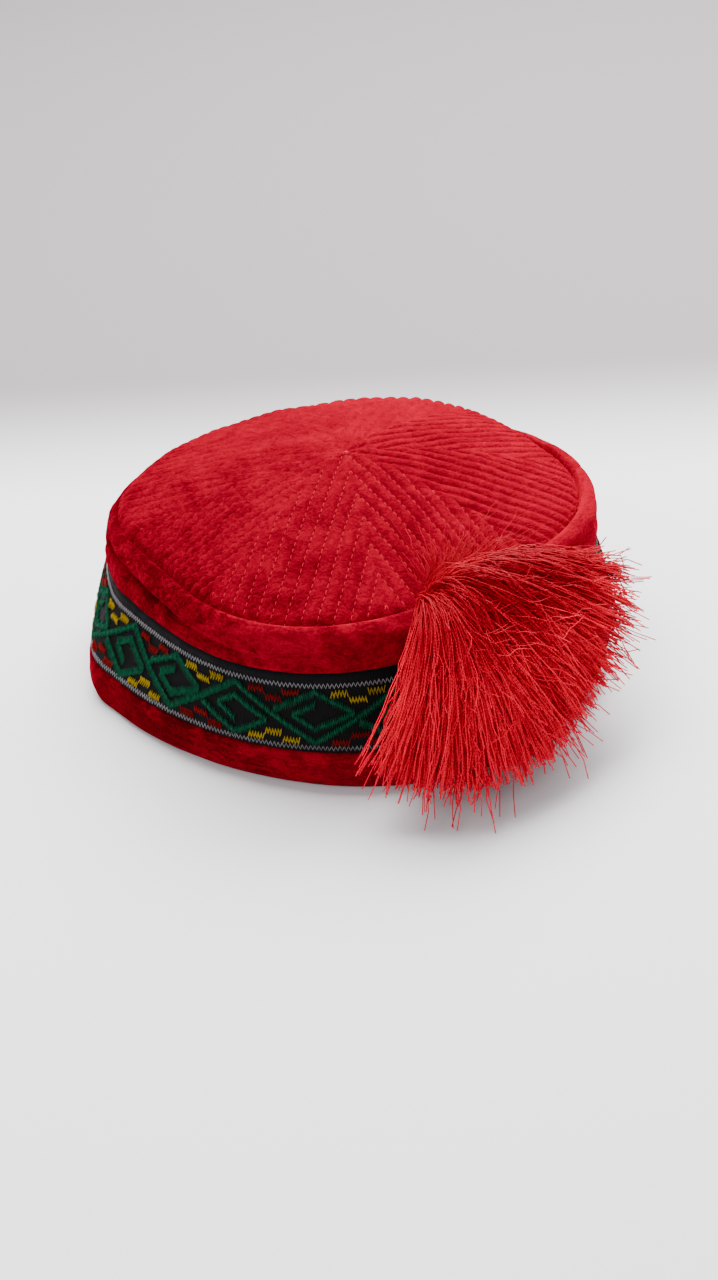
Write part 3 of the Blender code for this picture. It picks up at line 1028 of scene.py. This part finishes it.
class RibbonCourse:
    """The course of the ribbon round the wall, measured along its middle."""

    def __init__(self, cap, ribbon):
        self.cap = cap
        self.skin = skin_table(cap)
        self.middle = ribbon.low + ribbon.width / 2.0
        self.start = ribbon.pattern_turn
        self.runs = [0.0]
        before = self.place(self.start, self.middle)
        self.parts = 720
        for part in range(1, self.parts + 1):
            after = self.place(self.start + 2.0 * math.pi * part / self.parts, self.middle)
            self.runs.append(self.runs[-1] + (after - before).length)
            before = after
        self.length = self.runs[-1]

    def place(self, turn, height, lift=0.0):
        """Place on the wall's skin, or a lift away from it."""
        return cap_point(self.cap, turn, soft_value(self.skin, height) + lift, height)

    def turn_at(self, run):
        """Turn at a distance along the ribbon from the start of its pattern."""
        laps, run = divmod(run, self.length)
        low, high = 0, self.parts
        while high - low > 1:
            middle = (low + high) // 2
            if self.runs[middle] <= run:
                low = middle
            else:
                high = middle
        share = (run - self.runs[low]) / (self.runs[high] - self.runs[low])
        return self.start + 2.0 * math.pi * (laps + (low + share) / self.parts)

    def row(self, run, height):
        """Place on the ribbon, and the directions up it and out from it."""
        turn = self.turn_at(run)
        place = self.place(turn, height)
        above = self.place(turn, height + 1e-4)
        beside = self.place(turn + 1e-3, height)
        return place, (above - place).normalized(), facing(place, beside, above)


def pattern_path(course, ribbon, points, repeat):
    """Rows along a stroke of the pattern, in one of its repeats."""
    figure = course.length / (2 * ribbon.repeats)
    rise = ribbon.pattern_high - ribbon.pattern_low
    path = []
    for (start, low), (end, high) in zip(points, points[1:]):
        steps = max(int(math.hypot((end - start) * figure, (high - low) * rise) / 0.0016), 1)
        for step in range(steps):
            share = step / steps
            along = start + (end - start) * share
            up = low + (high - low) * share
            path.append(course.row((2 * repeat + along) * figure, ribbon.pattern_low + up * rise))
    end, high = points[-1]
    path.append(course.row((2 * repeat + end) * figure, ribbon.pattern_low + high * rise))
    return path


def block_strokes(along, outer, middle):
    """Three short strokes side by side, the middle one set higher or lower."""
    width, gap = 0.100, 0.215
    return [
        ((along - gap - width, outer), (along - gap + width, outer)),
        ((along - width, middle), (along + width, middle)),
        ((along + gap - width, outer), (along + gap + width, outer)),
    ]


def make_ribbon(cap, ribbon, material):
    """The woven ribbon as a closed band, with its weave laid out by length and height."""
    course = RibbonCourse(cap, ribbon)
    rows = 14
    section = []
    for row in range(rows + 1):
        height = ribbon.low + ribbon.width * row / rows
        edge = min(row, rows - row)
        section.append((height, -0.0003 if edge == 0 else 0.0))
    section += [(height, -ribbon.thickness) for height, _ in reversed(section)]
    bm = bmesh.new()
    weave = bm.loops.layers.uv.new("weave")
    rings = []
    for step in range(COLUMNS):
        turn = course.turn_at(course.length * step / COLUMNS)
        side = Vector((math.cos(turn), math.sin(turn), 0.0)) * cap.hem_radius
        rings.append([
            bm.verts.new(course.place(
                turn, height, lift + uneven(side + Vector((0, 0, height)), 0.012, 0.00007)))
            for height, lift in section
        ])
    for face, step, row, above in join_rings(bm, rings):
        places = ((step, row), (step + 1, row), (step + 1, above), (step, above))
        for loop, (column, line) in zip(face.loops, places):
            loop[weave].uv = (course.length * column / COLUMNS, section[line][0])
    bmesh.ops.recalc_face_normals(bm, faces=bm.faces)
    mesh = take_mesh(bm, "woven_ribbon")
    make_piece("woven_ribbon", mesh, ["ribbon_band"], [material])


def make_embroidery(cap, ribbon, materials):
    """White zigzags along the ribbon's edges, and its green, yellow and red figures."""
    course = RibbonCourse(cap, ribbon)
    tree = zigzag_tree()
    kinds = {"up": "FLOAT_VECTOR", "out": "FLOAT_VECTOR"}
    strokes = {"green": [], "yellow": [], "red": [], "white": []}
    for repeat in range(ribbon.repeats):
        for points in GREEN_STROKES:
            strokes["green"].append(pattern_path(course, ribbon, points, repeat))
        for along, outer, middle, colour in BLOCK_GROUPS:
            for points in block_strokes(along, outer, middle):
                strokes[colour].append(pattern_path(course, ribbon, points, repeat))
    for height in (ribbon.pattern_low, ribbon.pattern_high):
        strokes["white"].append(
            [course.row(course.length * step / 360, height) for step in range(361)])
    sizes = {
        "green": (ribbon.stroke_step, ribbon.stroke_reach, ribbon.thread_radius),
        "yellow": (ribbon.block_step, ribbon.block_reach, ribbon.thread_radius),
        "red": (ribbon.block_step, ribbon.block_reach, ribbon.thread_radius),
        "white": (ribbon.edge_step, ribbon.edge_reach, ribbon.edge_thread_radius),
    }
    for seed, (colour, paths) in enumerate(strokes.items(), 1):
        step, reach, thread_radius = sizes[colour]
        mesh = grow(guide_object(f"{colour}_guides", paths, kinds), tree, {
            "Step": step,
            "Reach": reach,
            "Lift": 0.9 * thread_radius,
            "Puff": 0.1 * reach if colour == "white" else 0.35 * reach,
            "Thread radius": thread_radius,
            "Seed": seed,
            "Material": materials[colour],
        })
        make_piece(f"{colour}_thread", mesh, ["ribbon_band"])


# Tassel

def lock_row(share):
    """Smooth values of the tassel's locks at a share of the way across its fan."""
    place = share * (len(TASSEL_LOCKS) - 1)
    columns = zip(*TASSEL_LOCKS)
    return [soft_value(list(enumerate(column)), place) for column in columns]


def fan_path(cap, tassel, share, depth, stray, cut, chance):
    """One guide strand of the fan, from the root over the roll and down. Depth is 0 against the
    wall and 1 outermost, stray turns its tip aside, and cut is the share of its length. Towards
    the right of the fan the strands first rise in a hump over the crown's edge."""
    turn_share, tip_share, stand_off, arch = lock_row(share)
    crest_height, crest_radius = roll_crest(cap)
    root_height = crest_height + tassel.head_radius * chance.uniform(0.1, 0.8)
    root_radius = crest_radius + chance.uniform(-0.0020, 0.0026)
    root_turn = tassel.turn + math.radians(chance.uniform(-1.6, 2.4))
    hump = soft_value([(0.0, 0.0), (0.40, 0.10), (0.62, 0.60), (0.85, 1.0), (1.0, 1.0)], share)
    tip_height = max(tip_share * cap.seam_height + (0.5 - depth) * 0.006, 0.0020)
    tip_radius = soft_value(skin_table(cap), tip_height) + 0.0022 + depth * (
        stand_off * tassel.spread + tassel.lock_radius - 0.0022)
    rise = arch * tassel.arch * (0.15 + 0.95 * depth) + hump * depth * tassel.hump
    rise *= chance.uniform(0.55, 1.25)
    bulge = root_radius + (0.5 - 0.6 * hump * depth) * (tip_radius - root_radius)
    curve = interpolate_bezier(
        (root_radius, root_height, 0.0),
        (bulge, root_height + rise, 0.0),
        (tip_radius, root_height + (0.4 - 0.3 * hump) * (tip_height - root_height), 0.0),
        (tip_radius, tip_height, 0.0),
        12,
    )
    kept = max(int(len(curve) * cut), 4)
    bend = chance.uniform(0.65, 1.45)
    path = []
    for step, point in enumerate(curve[:kept]):
        along = step / (len(curve) - 1)
        turn = root_turn + math.radians(turn_share * along ** bend + stray * along * along)
        place = cap_point(cap, turn, point.x, point.y)
        path.append((place, 0.0007 + 0.0018 * along))
    return path


def rising_path(cap, tassel, longest, chance):
    """One fine strand that stands up from beside the root and leans over the crown."""
    crest_height, crest_radius = roll_crest(cap)
    root_turn = tassel.turn + math.radians(chance.triangular(-2.0, 19.0, 3.0))
    root = cap_point(cap, root_turn, crest_radius, crest_height + tassel.head_radius * 0.3)
    side = math.radians(chance.triangular(-50.0, 112.0, 58.0))
    reach = longest * chance.uniform(0.3, 1.0)
    away = Vector((math.sin(side), math.cos(side), 0.0)) * reach
    lift = Vector((0.0, 0.0, chance.uniform(0.15, 0.55) * reach + 0.003))
    curve = interpolate_bezier(
        root, root + 0.25 * away + lift * chance.uniform(0.2, 0.8),
        root + 0.65 * away + lift * chance.uniform(0.7, 1.3), root + away + lift, 9)
    return [(point, 0.0005 + 0.0020 * step / 8) for step, point in enumerate(curve)]


def crossing_path(cap, tassel, chance):
    """One loose strand that comes out of the fan and lies across its neighbours."""
    share = chance.triangular(0.02, 0.85, 0.35)
    aside = chance.choice((-1.0, 1.0)) * chance.uniform(0.08, 0.30)
    inner = fan_path(cap, tassel, share, 0.8, 0.0, 1.0, chance)
    outer = fan_path(cap, tassel, min(max(share + aside, 0.0), 0.92), 1.0, 0.0, 1.0, chance)
    start = inner[chance.randint(1, 5)][0]
    end = outer[chance.randint(6, 11)][0]
    swell = Vector((start.x, start.y, 0.0)).normalized() * chance.uniform(0.0, 0.005)
    swell += Vector((0.0, 0.0, chance.uniform(0.0, 0.005)))
    curve = interpolate_bezier(
        start, start.lerp(end, 0.3) + swell, start.lerp(end, 0.7) + 0.6 * swell, end, 10)
    return [(point, 0.0008 + 0.0014 * step / 9) for step, point in enumerate(curve)]


def stub_path(cap, tassel, chance):
    """One short cut end at the root."""
    crest_height, crest_radius = roll_crest(cap)
    root = cap_point(cap, tassel.turn, crest_radius, crest_height + tassel.head_radius * 0.5)
    heading = math.radians(chance.triangular(150.0, 330.0, 235.0))
    reach = chance.uniform(0.005, 0.017)
    away = Vector((math.cos(heading), math.sin(heading), 0.0)) * reach
    middle = root + away * 0.5 + Vector((0, 0, 0.25 * reach))
    return [(point, 0.0006) for point in (
        root, middle, root + away + Vector((0, 0, chance.uniform(-0.35, 0.1) * reach)))]


def grow_strands(name, paths, tassel, seed, material, **sizes):
    """A piece of silk strands that follow the paths, in sizes that differ from the usual ones."""
    values = {
        "Copies": tassel.copies,
        "Points": 10,
        "Thread radius": tassel.thread_radius,
        "Seed": seed,
        "Material": material,
    }
    values.update({label.replace("_", " ").capitalize(): value for label, value in sizes.items()})
    guides = guide_object(f"{name}_guides", paths, {"spread": "FLOAT"})
    make_piece(name, grow(guides, silk_strand_tree(), values), ["tassel"])


def make_tassel(cap, tassel, silk):
    """The fan of loose strands in three pieces, those that lie across it, and those at its root."""
    chance = random.Random(tassel.seed)
    fan = []
    for _ in range(tassel.guides):
        share = chance.random()
        if share > 0.93 and chance.random() < 0.5:
            share = chance.uniform(0.45, 0.9)
        depth = chance.random() ** 0.8
        cut = chance.uniform(0.95, 1.0) if chance.random() < 0.8 else chance.uniform(0.60, 0.95)
        path = fan_path(
            cap, tassel, share, depth, chance.gauss(0.0, 1.5 + 4.0 * depth), cut, chance)
        fan.append((share, path))
    parts = (("tassel_front", 0.0, 0.33), ("tassel_middle", 0.33, 0.66), ("tassel_back", 0.66, 1.01))
    for seed, (name, low, high) in enumerate(parts, tassel.seed):
        paths = [path for share, path in fan if low <= share < high]
        grow_strands(
            name, paths, tassel, seed, silk, wander=0.0027, wander_size=0.011, shortest=0.90)
    across = [
        fan_path(
            cap, tassel, chance.triangular(0.05, 0.90, 0.40), chance.uniform(0.90, 1.15),
            chance.uniform(-22.0, 22.0), chance.uniform(0.42, 0.90), chance)
        for _ in range(tassel.strays)
    ]
    across += [crossing_path(cap, tassel, chance) for _ in range(tassel.crossings)]
    grow_strands(
        "tassel_stray", across, tassel, tassel.seed + 5, silk, copies=2, wander=0.0045,
        wander_size=0.009, shortest=0.7)
    root = [
        rising_path(cap, tassel, longest, chance) for count, longest in ROOT_FUZZ for _ in range(count)
    ]
    root += [stub_path(cap, tassel, chance) for _ in range(tassel.cut_ends)]
    grow_strands(
        "tassel_root", root, tassel, tassel.seed + 9, silk, copies=1, wander=0.0022,
        wander_size=0.010, shortest=0.6, thread_radius=tassel.thread_radius * 0.54)


# Materials

def new_material(name):
    """A material's tree, its shader, and the object's own coordinates."""
    material = bpy.data.materials.new(name)
    material.use_nodes = True
    tree = material.node_tree
    shader = tree.nodes["Principled BSDF"]
    place = add_node(tree, "ShaderNodeTexCoord").outputs["Object"]
    return material, tree, shader, place


def add_noise(tree, place, size, detail=2.0, distortion=0.0, roughness=0.5):
    """Noise with features of a size."""
    noisy = add_node(
        tree, "ShaderNodeTexNoise",
        {"Vector": place, "Scale": 1.0 / size, "Detail": detail, "Roughness": roughness,
         "Distortion": distortion})
    return noisy.outputs["Fac"]


def add_range(tree, value, low, high, new_low=0.0, new_high=1.0):
    """Spread a value between two limits, softly."""
    return add_node(
        tree, "ShaderNodeMapRange",
        {"Value": value, "From Min": low, "From Max": high, "To Min": new_low, "To Max": new_high},
        interpolation_type="SMOOTHSTEP")


def add_mix(tree, share, low, high):
    """Mix of two colours, each a socket or three numbers."""
    ends = [(*colour, 1.0) if not isinstance(colour, bpy.types.NodeSocket) else colour
            for colour in (low, high)]
    mix = add_node(
        tree, "ShaderNodeMix", {"Factor": share, "A": ends[0], "B": ends[1]}, data_type="RGBA")
    return live_socket(mix.outputs, 0)


def add_bump(tree, height, distance, strength=1.0, normal=None):
    """Fine relief of a height, over another normal if one is given."""
    inputs = {"Height": height, "Distance": distance, "Strength": strength}
    if normal is not None:
        inputs["Normal"] = normal
    return add_node(tree, "ShaderNodeBump", inputs)


def add_sine(tree, value, pitch):
    """A wave along a value, of a pitch."""
    return add_maths(tree, "SINE", add_product(tree, value, 2.0 * math.pi / pitch))


def scaled(colour, factor):
    """A darker or brighter shade of a colour."""
    return tuple(factor * part for part in colour)


def velvet_material(name, colours, tone, crush, painted_light_slope):
    """Crushed velvet: patches where the pile lies this way or that, and its fine tufts. Tone is its
    brightness at the cap's middle, set lower on the wall than on the crown as painted shade, crush is
    how boldly the patches show, and painted light brightens the velvet along a slope across the cap."""
    material, tree, shader, place = new_material(name)
    cloudy = add_noise(tree, place, 0.018, detail=4.0, distortion=1.1, roughness=0.6)
    patches = add_range(tree, cloudy, 0.40, 0.62)
    stretched = add_node(tree, "ShaderNodeMapping", {"Vector": place, "Scale": (1.0, 1.0, 2.6)})
    streaky = add_noise(tree, stretched, 0.0052, detail=4.0, distortion=1.4, roughness=0.65)
    streaks = add_range(tree, streaky, 0.36, 0.66)
    tufts = add_noise(tree, place, 0.0009, detail=3.0, distortion=0.4, roughness=0.7)
    boldness = 0.36 * crush
    # Painted light: the velvet gets brighter along the slope across the cap, from a base set by its
    # tone.
    painted_light_base = add_maths(
        tree, "ADD", add_vector_maths(tree, "DOT_PRODUCT", place, painted_light_slope), tone - 0.15 - boldness)
    patchy = add_maths(tree, "MULTIPLY_ADD", patches, boldness, painted_light_base)
    lying = add_maths(tree, "MULTIPLY_ADD", streaks, boldness, patchy)
    share = add_maths(tree, "MULTIPLY_ADD", add_range(tree, tufts, 0.3, 0.7), 0.30, lying)
    pile = add_bump(tree, tufts, 0.00045, 0.75)
    set_inputs(tree, shader, {
        "Base Color": add_mix(tree, share, colours.velvet_deep, colours.velvet_bright),
        "Roughness": add_range(tree, patches, 0.0, 1.0, 0.82, 0.66),
        "Normal": add_bump(tree, streaks, 0.0010, 0.35, pile),
        "Specular IOR Level": 0.0,
        "Sheen Weight": 0.40,
        "Sheen Roughness": 0.34,
        "Sheen Tint": (*colours.velvet_sheen, 1.0),
    })
    return material


def backing_material(colours):
    """Plain-woven cotton behind the velvet."""
    material, tree, shader, place = new_material("cotton_backing")
    turned = add_node(tree, "ShaderNodeMapping", {"Vector": place, "Rotation": (0.5, 0.4, 0.8)})
    warp, weft = (
        add_node(
            tree, "ShaderNodeTexWave", {"Vector": turned, "Scale": 320.0, "Distortion": 0.6},
            bands_direction=direction).outputs["Fac"]
        for direction in "XY"
    )
    weave = add_product(tree, warp, weft)
    slubs = add_noise(tree, place, 0.004, detail=3.0)
    share = add_maths(tree, "MULTIPLY_ADD", weave, 0.6, add_product(tree, slubs, 0.5))
    set_inputs(tree, shader, {
        "Base Color": add_mix(tree, share, scaled(colours.backing, 0.45), colours.backing),
        "Normal": add_bump(tree, weave, 0.0002, 0.6),
        "Roughness": 0.85,
        "Specular IOR Level": 0.02,
    })
    return material


def thread_material(name, colour, roughness):
    """Twisted embroidery thread, a little uneven in tone."""
    material, tree, shader, place = new_material(name)
    tone = add_noise(tree, place, 0.0016)
    ply = add_noise(tree, place, 0.00035, distortion=0.5)
    share = add_maths(tree, "MULTIPLY_ADD", ply, 0.7, add_product(tree, tone, 0.4))
    set_inputs(tree, shader, {
        "Base Color": add_mix(tree, share, scaled(colour, 0.40), scaled(colour, 1.25)),
        "Normal": add_bump(tree, ply, 0.00012, 0.6),
        "Roughness": roughness,
        "Specular IOR Level": 0.04,
    })
    return material


def ribbon_material(colours):
    """Black ribbon with a fine warp rib and dusty, uneven tone."""
    material, tree, shader, place = new_material("black_woven_ribbon")
    weave = add_node(tree, "ShaderNodeUVMap", uv_map="weave")
    parts = add_node(tree, "ShaderNodeSeparateXYZ", {0: weave})
    rib = add_sine(tree, parts.outputs["X"], 0.00055)
    weft = add_sine(tree, parts.outputs["Y"], 0.00042)
    cloth = add_maths(
        tree, "MULTIPLY_ADD", rib, 0.32, add_maths(tree, "MULTIPLY_ADD", weft, 0.18, 0.5))
    dust = add_range(tree, add_noise(tree, place, 0.006, detail=4.0), 0.35, 0.75)
    share = add_maths(tree, "MULTIPLY_ADD", dust, 0.35, add_product(tree, cloth, 0.65))
    set_inputs(tree, shader, {
        "Base Color": add_mix(
            tree, share, scaled(colours.ribbon, 0.45), scaled(colours.ribbon, 2.2)),
        "Roughness": add_range(tree, dust, 0.0, 1.0, 0.60, 0.80),
        "Normal": add_bump(tree, cloth, 0.00012, 0.8),
        "Specular IOR Level": 0.04,
    })
    return material


def silk_material(colours):
    """Twisted silk strands, each with its own tone and painted glints along its twist, with painted
    shade near the root and on the high strands, and painted light on the low strands.
    """
    material, tree, shader, place = new_material("red_silk_strands")
    run, tone = (
        add_node(tree, "ShaderNodeAttribute", attribute_name=name).outputs["Fac"]
        for name in ("strand_run", "strand_tone")
    )
    wobble = add_noise(tree, place, 0.0030)
    turns = add_maths(
        tree, "ADD", add_product(tree, run, 2.0 * math.pi / 0.0011), add_product(tree, wobble, 9.0))
    ply = add_maths(tree, "MULTIPLY_ADD", add_maths(tree, "SINE", turns), 0.5, 0.5)
    height = add_node(tree, "ShaderNodeSeparateXYZ", {0: place}).outputs["Z"]
    # Painted light and shade: lower strands lighter, higher strands darker.
    painted_height_shade = add_range(tree, height, 0.040, 0.065, 0.18, -0.66)
    # Painted shade near the root, added to the painted shade by height.
    shaded = add_maths(tree, "ADD", add_range(tree, run, 0.001, 0.016, -0.32, 0.0), painted_height_shade)
    toned = add_maths(tree, "MULTIPLY_ADD", tone, 0.62, shaded)
    # The ply wave's share of the colour is a painted highlight: glints along the twist.
    share = add_maths(tree, "MULTIPLY_ADD", ply, 0.38, toned)
    set_inputs(tree, shader, {
        "Base Color": add_mix(tree, share, colours.silk_deep, colours.silk_bright),
        "Normal": add_bump(tree, ply, 0.00010, 0.5),
        "Roughness": 0.42,
        "Specular IOR Level": 0.04,
        "Specular Tint": (1.0, 0.12, 0.18, 1.0),
    })
    return material


def hole_material():
    """Shade inside a needle hole."""
    material, tree, shader, place = new_material("needle_hole_shade")
    tone = add_noise(tree, place, 0.0012)
    set_inputs(tree, shader, {
        "Base Color": add_mix(tree, tone, (0.020, 0.0004, 0.0008), (0.085, 0.001, 0.003)),
        "Roughness": 0.95,
        "Specular IOR Level": 0.05,
    })
    return material


def paper_material(studio):
    """Matt seamless paper, with painted shade that darkens it well behind the cap."""
    material, tree, shader, place = new_material("studio_paper")
    grain = add_noise(tree, place, 0.0011)
    near = add_mix(tree, grain, scaled(studio.floor, 0.97), studio.floor)
    # Painted shade: the paper darkens with distance behind the cap.
    depth = add_node(tree, "ShaderNodeSeparateXYZ", {0: place}).outputs["Y"]
    far = add_range(tree, depth, studio.fade_start, studio.fade_end)
    set_inputs(tree, shader, {
        "Base Color": add_mix(tree, far, near, studio.shaded_far_floor),
        "Roughness": 0.60,
        "Specular IOR Level": 0.20,
    })
    return material


# Studio

def make_floor(studio):
    """A round floor, wide enough to fill the view from any side."""
    bm = bmesh.new()
    bmesh.ops.create_circle(bm, cap_ends=True, segments=96, radius=4.0)
    mesh = take_mesh(bm, "floor")
    mesh.materials.append(paper_material(studio))
    floor = new_object("floor", mesh)


def make_area_light(name, place, target, size, power, colour):
    """A round soft light that points at a target."""
    lamp = bpy.data.lights.new(name, "AREA")
    lamp.shape = "DISK"
    lamp.size = size
    lamp.energy = power
    lamp.color = colour
    light = new_object(name, lamp)
    light.location = place
    light.rotation_euler = (Vector(target) - Vector(place)).to_track_quat("-Z", "Y").to_euler()
    light.visible_camera = False


def make_camera(studio):
    """The camera at the photograph's angle."""
    pitch, roll = studio.camera_pitch, studio.camera_roll
    ahead = Vector((0.0, math.cos(pitch), -math.sin(pitch)))
    level_right = Vector((1.0, 0.0, 0.0))
    level_up = Vector((0.0, math.sin(pitch), math.cos(pitch)))
    right = math.cos(roll) * level_right + math.sin(roll) * level_up
    up = math.cos(roll) * level_up - math.sin(roll) * level_right
    lens = bpy.data.cameras.new("camera")
    lens.lens = studio.focal_length
    lens.sensor_width = 36.0
    lens.clip_start = 0.01
    lens.clip_end = 20.0
    camera = new_object("camera", lens)
    turned = Matrix((right, up, -ahead)).transposed().to_4x4()
    camera.matrix_world = Matrix.Translation(studio.camera_place) @ turned
    bpy.context.scene.camera = camera


def make_sky(studio):
    """Even, faintly cool light from all round."""
    world = bpy.data.worlds.new("studio_sky")
    world.use_nodes = True
    sky = world.node_tree.nodes["Background"]
    sky.inputs["Color"].default_value = (0.95, 0.96, 1.0, 1.0)
    sky.inputs["Strength"].default_value = studio.sky
    bpy.context.scene.world = world


# Operators

class TUBETEIKA_OT_wall(bpy.types.Operator):
    """Make the padded velvet wall with its roll and crease"""
    bl_idname = "tubeteika.wall"
    bl_label = "Velvet wall"

    def execute(self, context):
        scene = context.scene
        colours = scene.tubeteika_colours
        # Painted shade and light: the wall's velvet is a darker copy of the crown's, brightened towards
        # the right, the front and the top.
        velvet = velvet_material(
            "wall_velvet", colours, tone=0.33, crush=1.0, painted_light_slope=(5.2, -2.2, 2.5))
        make_velvet_wall(scene.tubeteika_cap, [velvet, backing_material(colours)])
        return {"FINISHED"}


class TUBETEIKA_OT_crown(bpy.types.Operator):
    """Make the quilted velvet crown"""
    bl_idname = "tubeteika.crown"
    bl_label = "Quilted crown"

    def execute(self, context):
        scene = context.scene
        # Painted light: the crown's velvet is a lighter copy of the wall's, brightened towards the
        # right and the back.
        velvet = velvet_material(
            "crown_velvet", scene.tubeteika_colours, tone=0.53, crush=0.60, painted_light_slope=(3.0, 1.8, 0.0))
        make_quilted_crown(
            scene.tubeteika_cap, scene.tubeteika_quilt, velvet, bpy.data.materials["cotton_backing"])
        return {"FINISHED"}


class TUBETEIKA_OT_quilting(bpy.types.Operator):
    """Sew the stitches and needle holes of the crown"""
    bl_idname = "tubeteika.quilting"
    bl_label = "Quilting stitches"

    def execute(self, context):
        scene = context.scene
        thread = thread_material(
            "quilting_thread", scene.tubeteika_colours.quilting, roughness=0.5)
        make_quilting(scene.tubeteika_cap, scene.tubeteika_quilt, thread, hole_material())
        return {"FINISHED"}


class TUBETEIKA_OT_ribbon(bpy.types.Operator):
    """Make the woven ribbon round the wall"""
    bl_idname = "tubeteika.ribbon"
    bl_label = "Woven ribbon"

    def execute(self, context):
        scene = context.scene
        make_ribbon(
            scene.tubeteika_cap, scene.tubeteika_ribbon, ribbon_material(scene.tubeteika_colours))
        return {"FINISHED"}


class TUBETEIKA_OT_embroidery(bpy.types.Operator):
    """Embroider the ribbon with its zigzags and figures"""
    bl_idname = "tubeteika.embroidery"
    bl_label = "Embroidery"

    def execute(self, context):
        scene = context.scene
        colours = scene.tubeteika_colours
        roughness = {"white": 0.6, "green": 0.45, "yellow": 0.5, "red": 0.5}
        materials = {
            name: thread_material(f"{name}_thread", getattr(colours, name), value)
            for name, value in roughness.items()
        }
        make_embroidery(scene.tubeteika_cap, scene.tubeteika_ribbon, materials)
        return {"FINISHED"}


class TUBETEIKA_OT_tassel(bpy.types.Operator):
    """Make the silk tassel"""
    bl_idname = "tubeteika.tassel"
    bl_label = "Silk tassel"

    def execute(self, context):
        scene = context.scene
        make_tassel(
            scene.tubeteika_cap, scene.tubeteika_tassel, silk_material(scene.tubeteika_colours))
        return {"FINISHED"}


class TUBETEIKA_OT_studio(bpy.types.Operator):
    """Make the floor, lights and camera"""
    bl_idname = "tubeteika.studio"
    bl_label = "Studio"

    def execute(self, context):
        studio = context.scene.tubeteika_studio
        make_floor(studio)
        for name, place, target, size, colour in LIGHTS:
            make_area_light(name, place, target, size, getattr(studio, name), colour)
        make_camera(studio)
        make_sky(studio)
        return {"FINISHED"}


OPERATORS = (
    TUBETEIKA_OT_wall,
    TUBETEIKA_OT_crown,
    TUBETEIKA_OT_quilting,
    TUBETEIKA_OT_ribbon,
    TUBETEIKA_OT_embroidery,
    TUBETEIKA_OT_tassel,
    TUBETEIKA_OT_studio,
)


class TUBETEIKA_PT_panel(bpy.types.Panel):
    """Pieces of the skullcap, in the order in which they are made"""
    bl_idname = "TUBETEIKA_PT_panel"
    bl_label = "Tubeteika skullcap"
    bl_space_type = "VIEW_3D"
    bl_region_type = "UI"
    bl_category = "Skullcap"

    def draw(self, context):
        for operator in OPERATORS:
            self.layout.operator(operator.bl_idname)


CLASSES = (*SETTINGS.values(), *OPERATORS, TUBETEIKA_PT_panel)


def register():
    """Register the settings, operators and panel."""
    for item in CLASSES:
        bpy.utils.register_class(item)
    for name, group in SETTINGS.items():
        setattr(bpy.types.Scene, name, PointerProperty(type=group))


def unregister():
    """Take the settings, operators and panel away again."""
    for name in SETTINGS:
        delattr(bpy.types.Scene, name)
    for item in reversed(CLASSES):
        bpy.utils.unregister_class(item)


def main():
    """Make every piece."""
    register()
    for operator in OPERATORS:
        getattr(bpy.ops.tubeteika, operator.bl_idname.split(".")[1])()


if __name__ == "__main__":
    main()
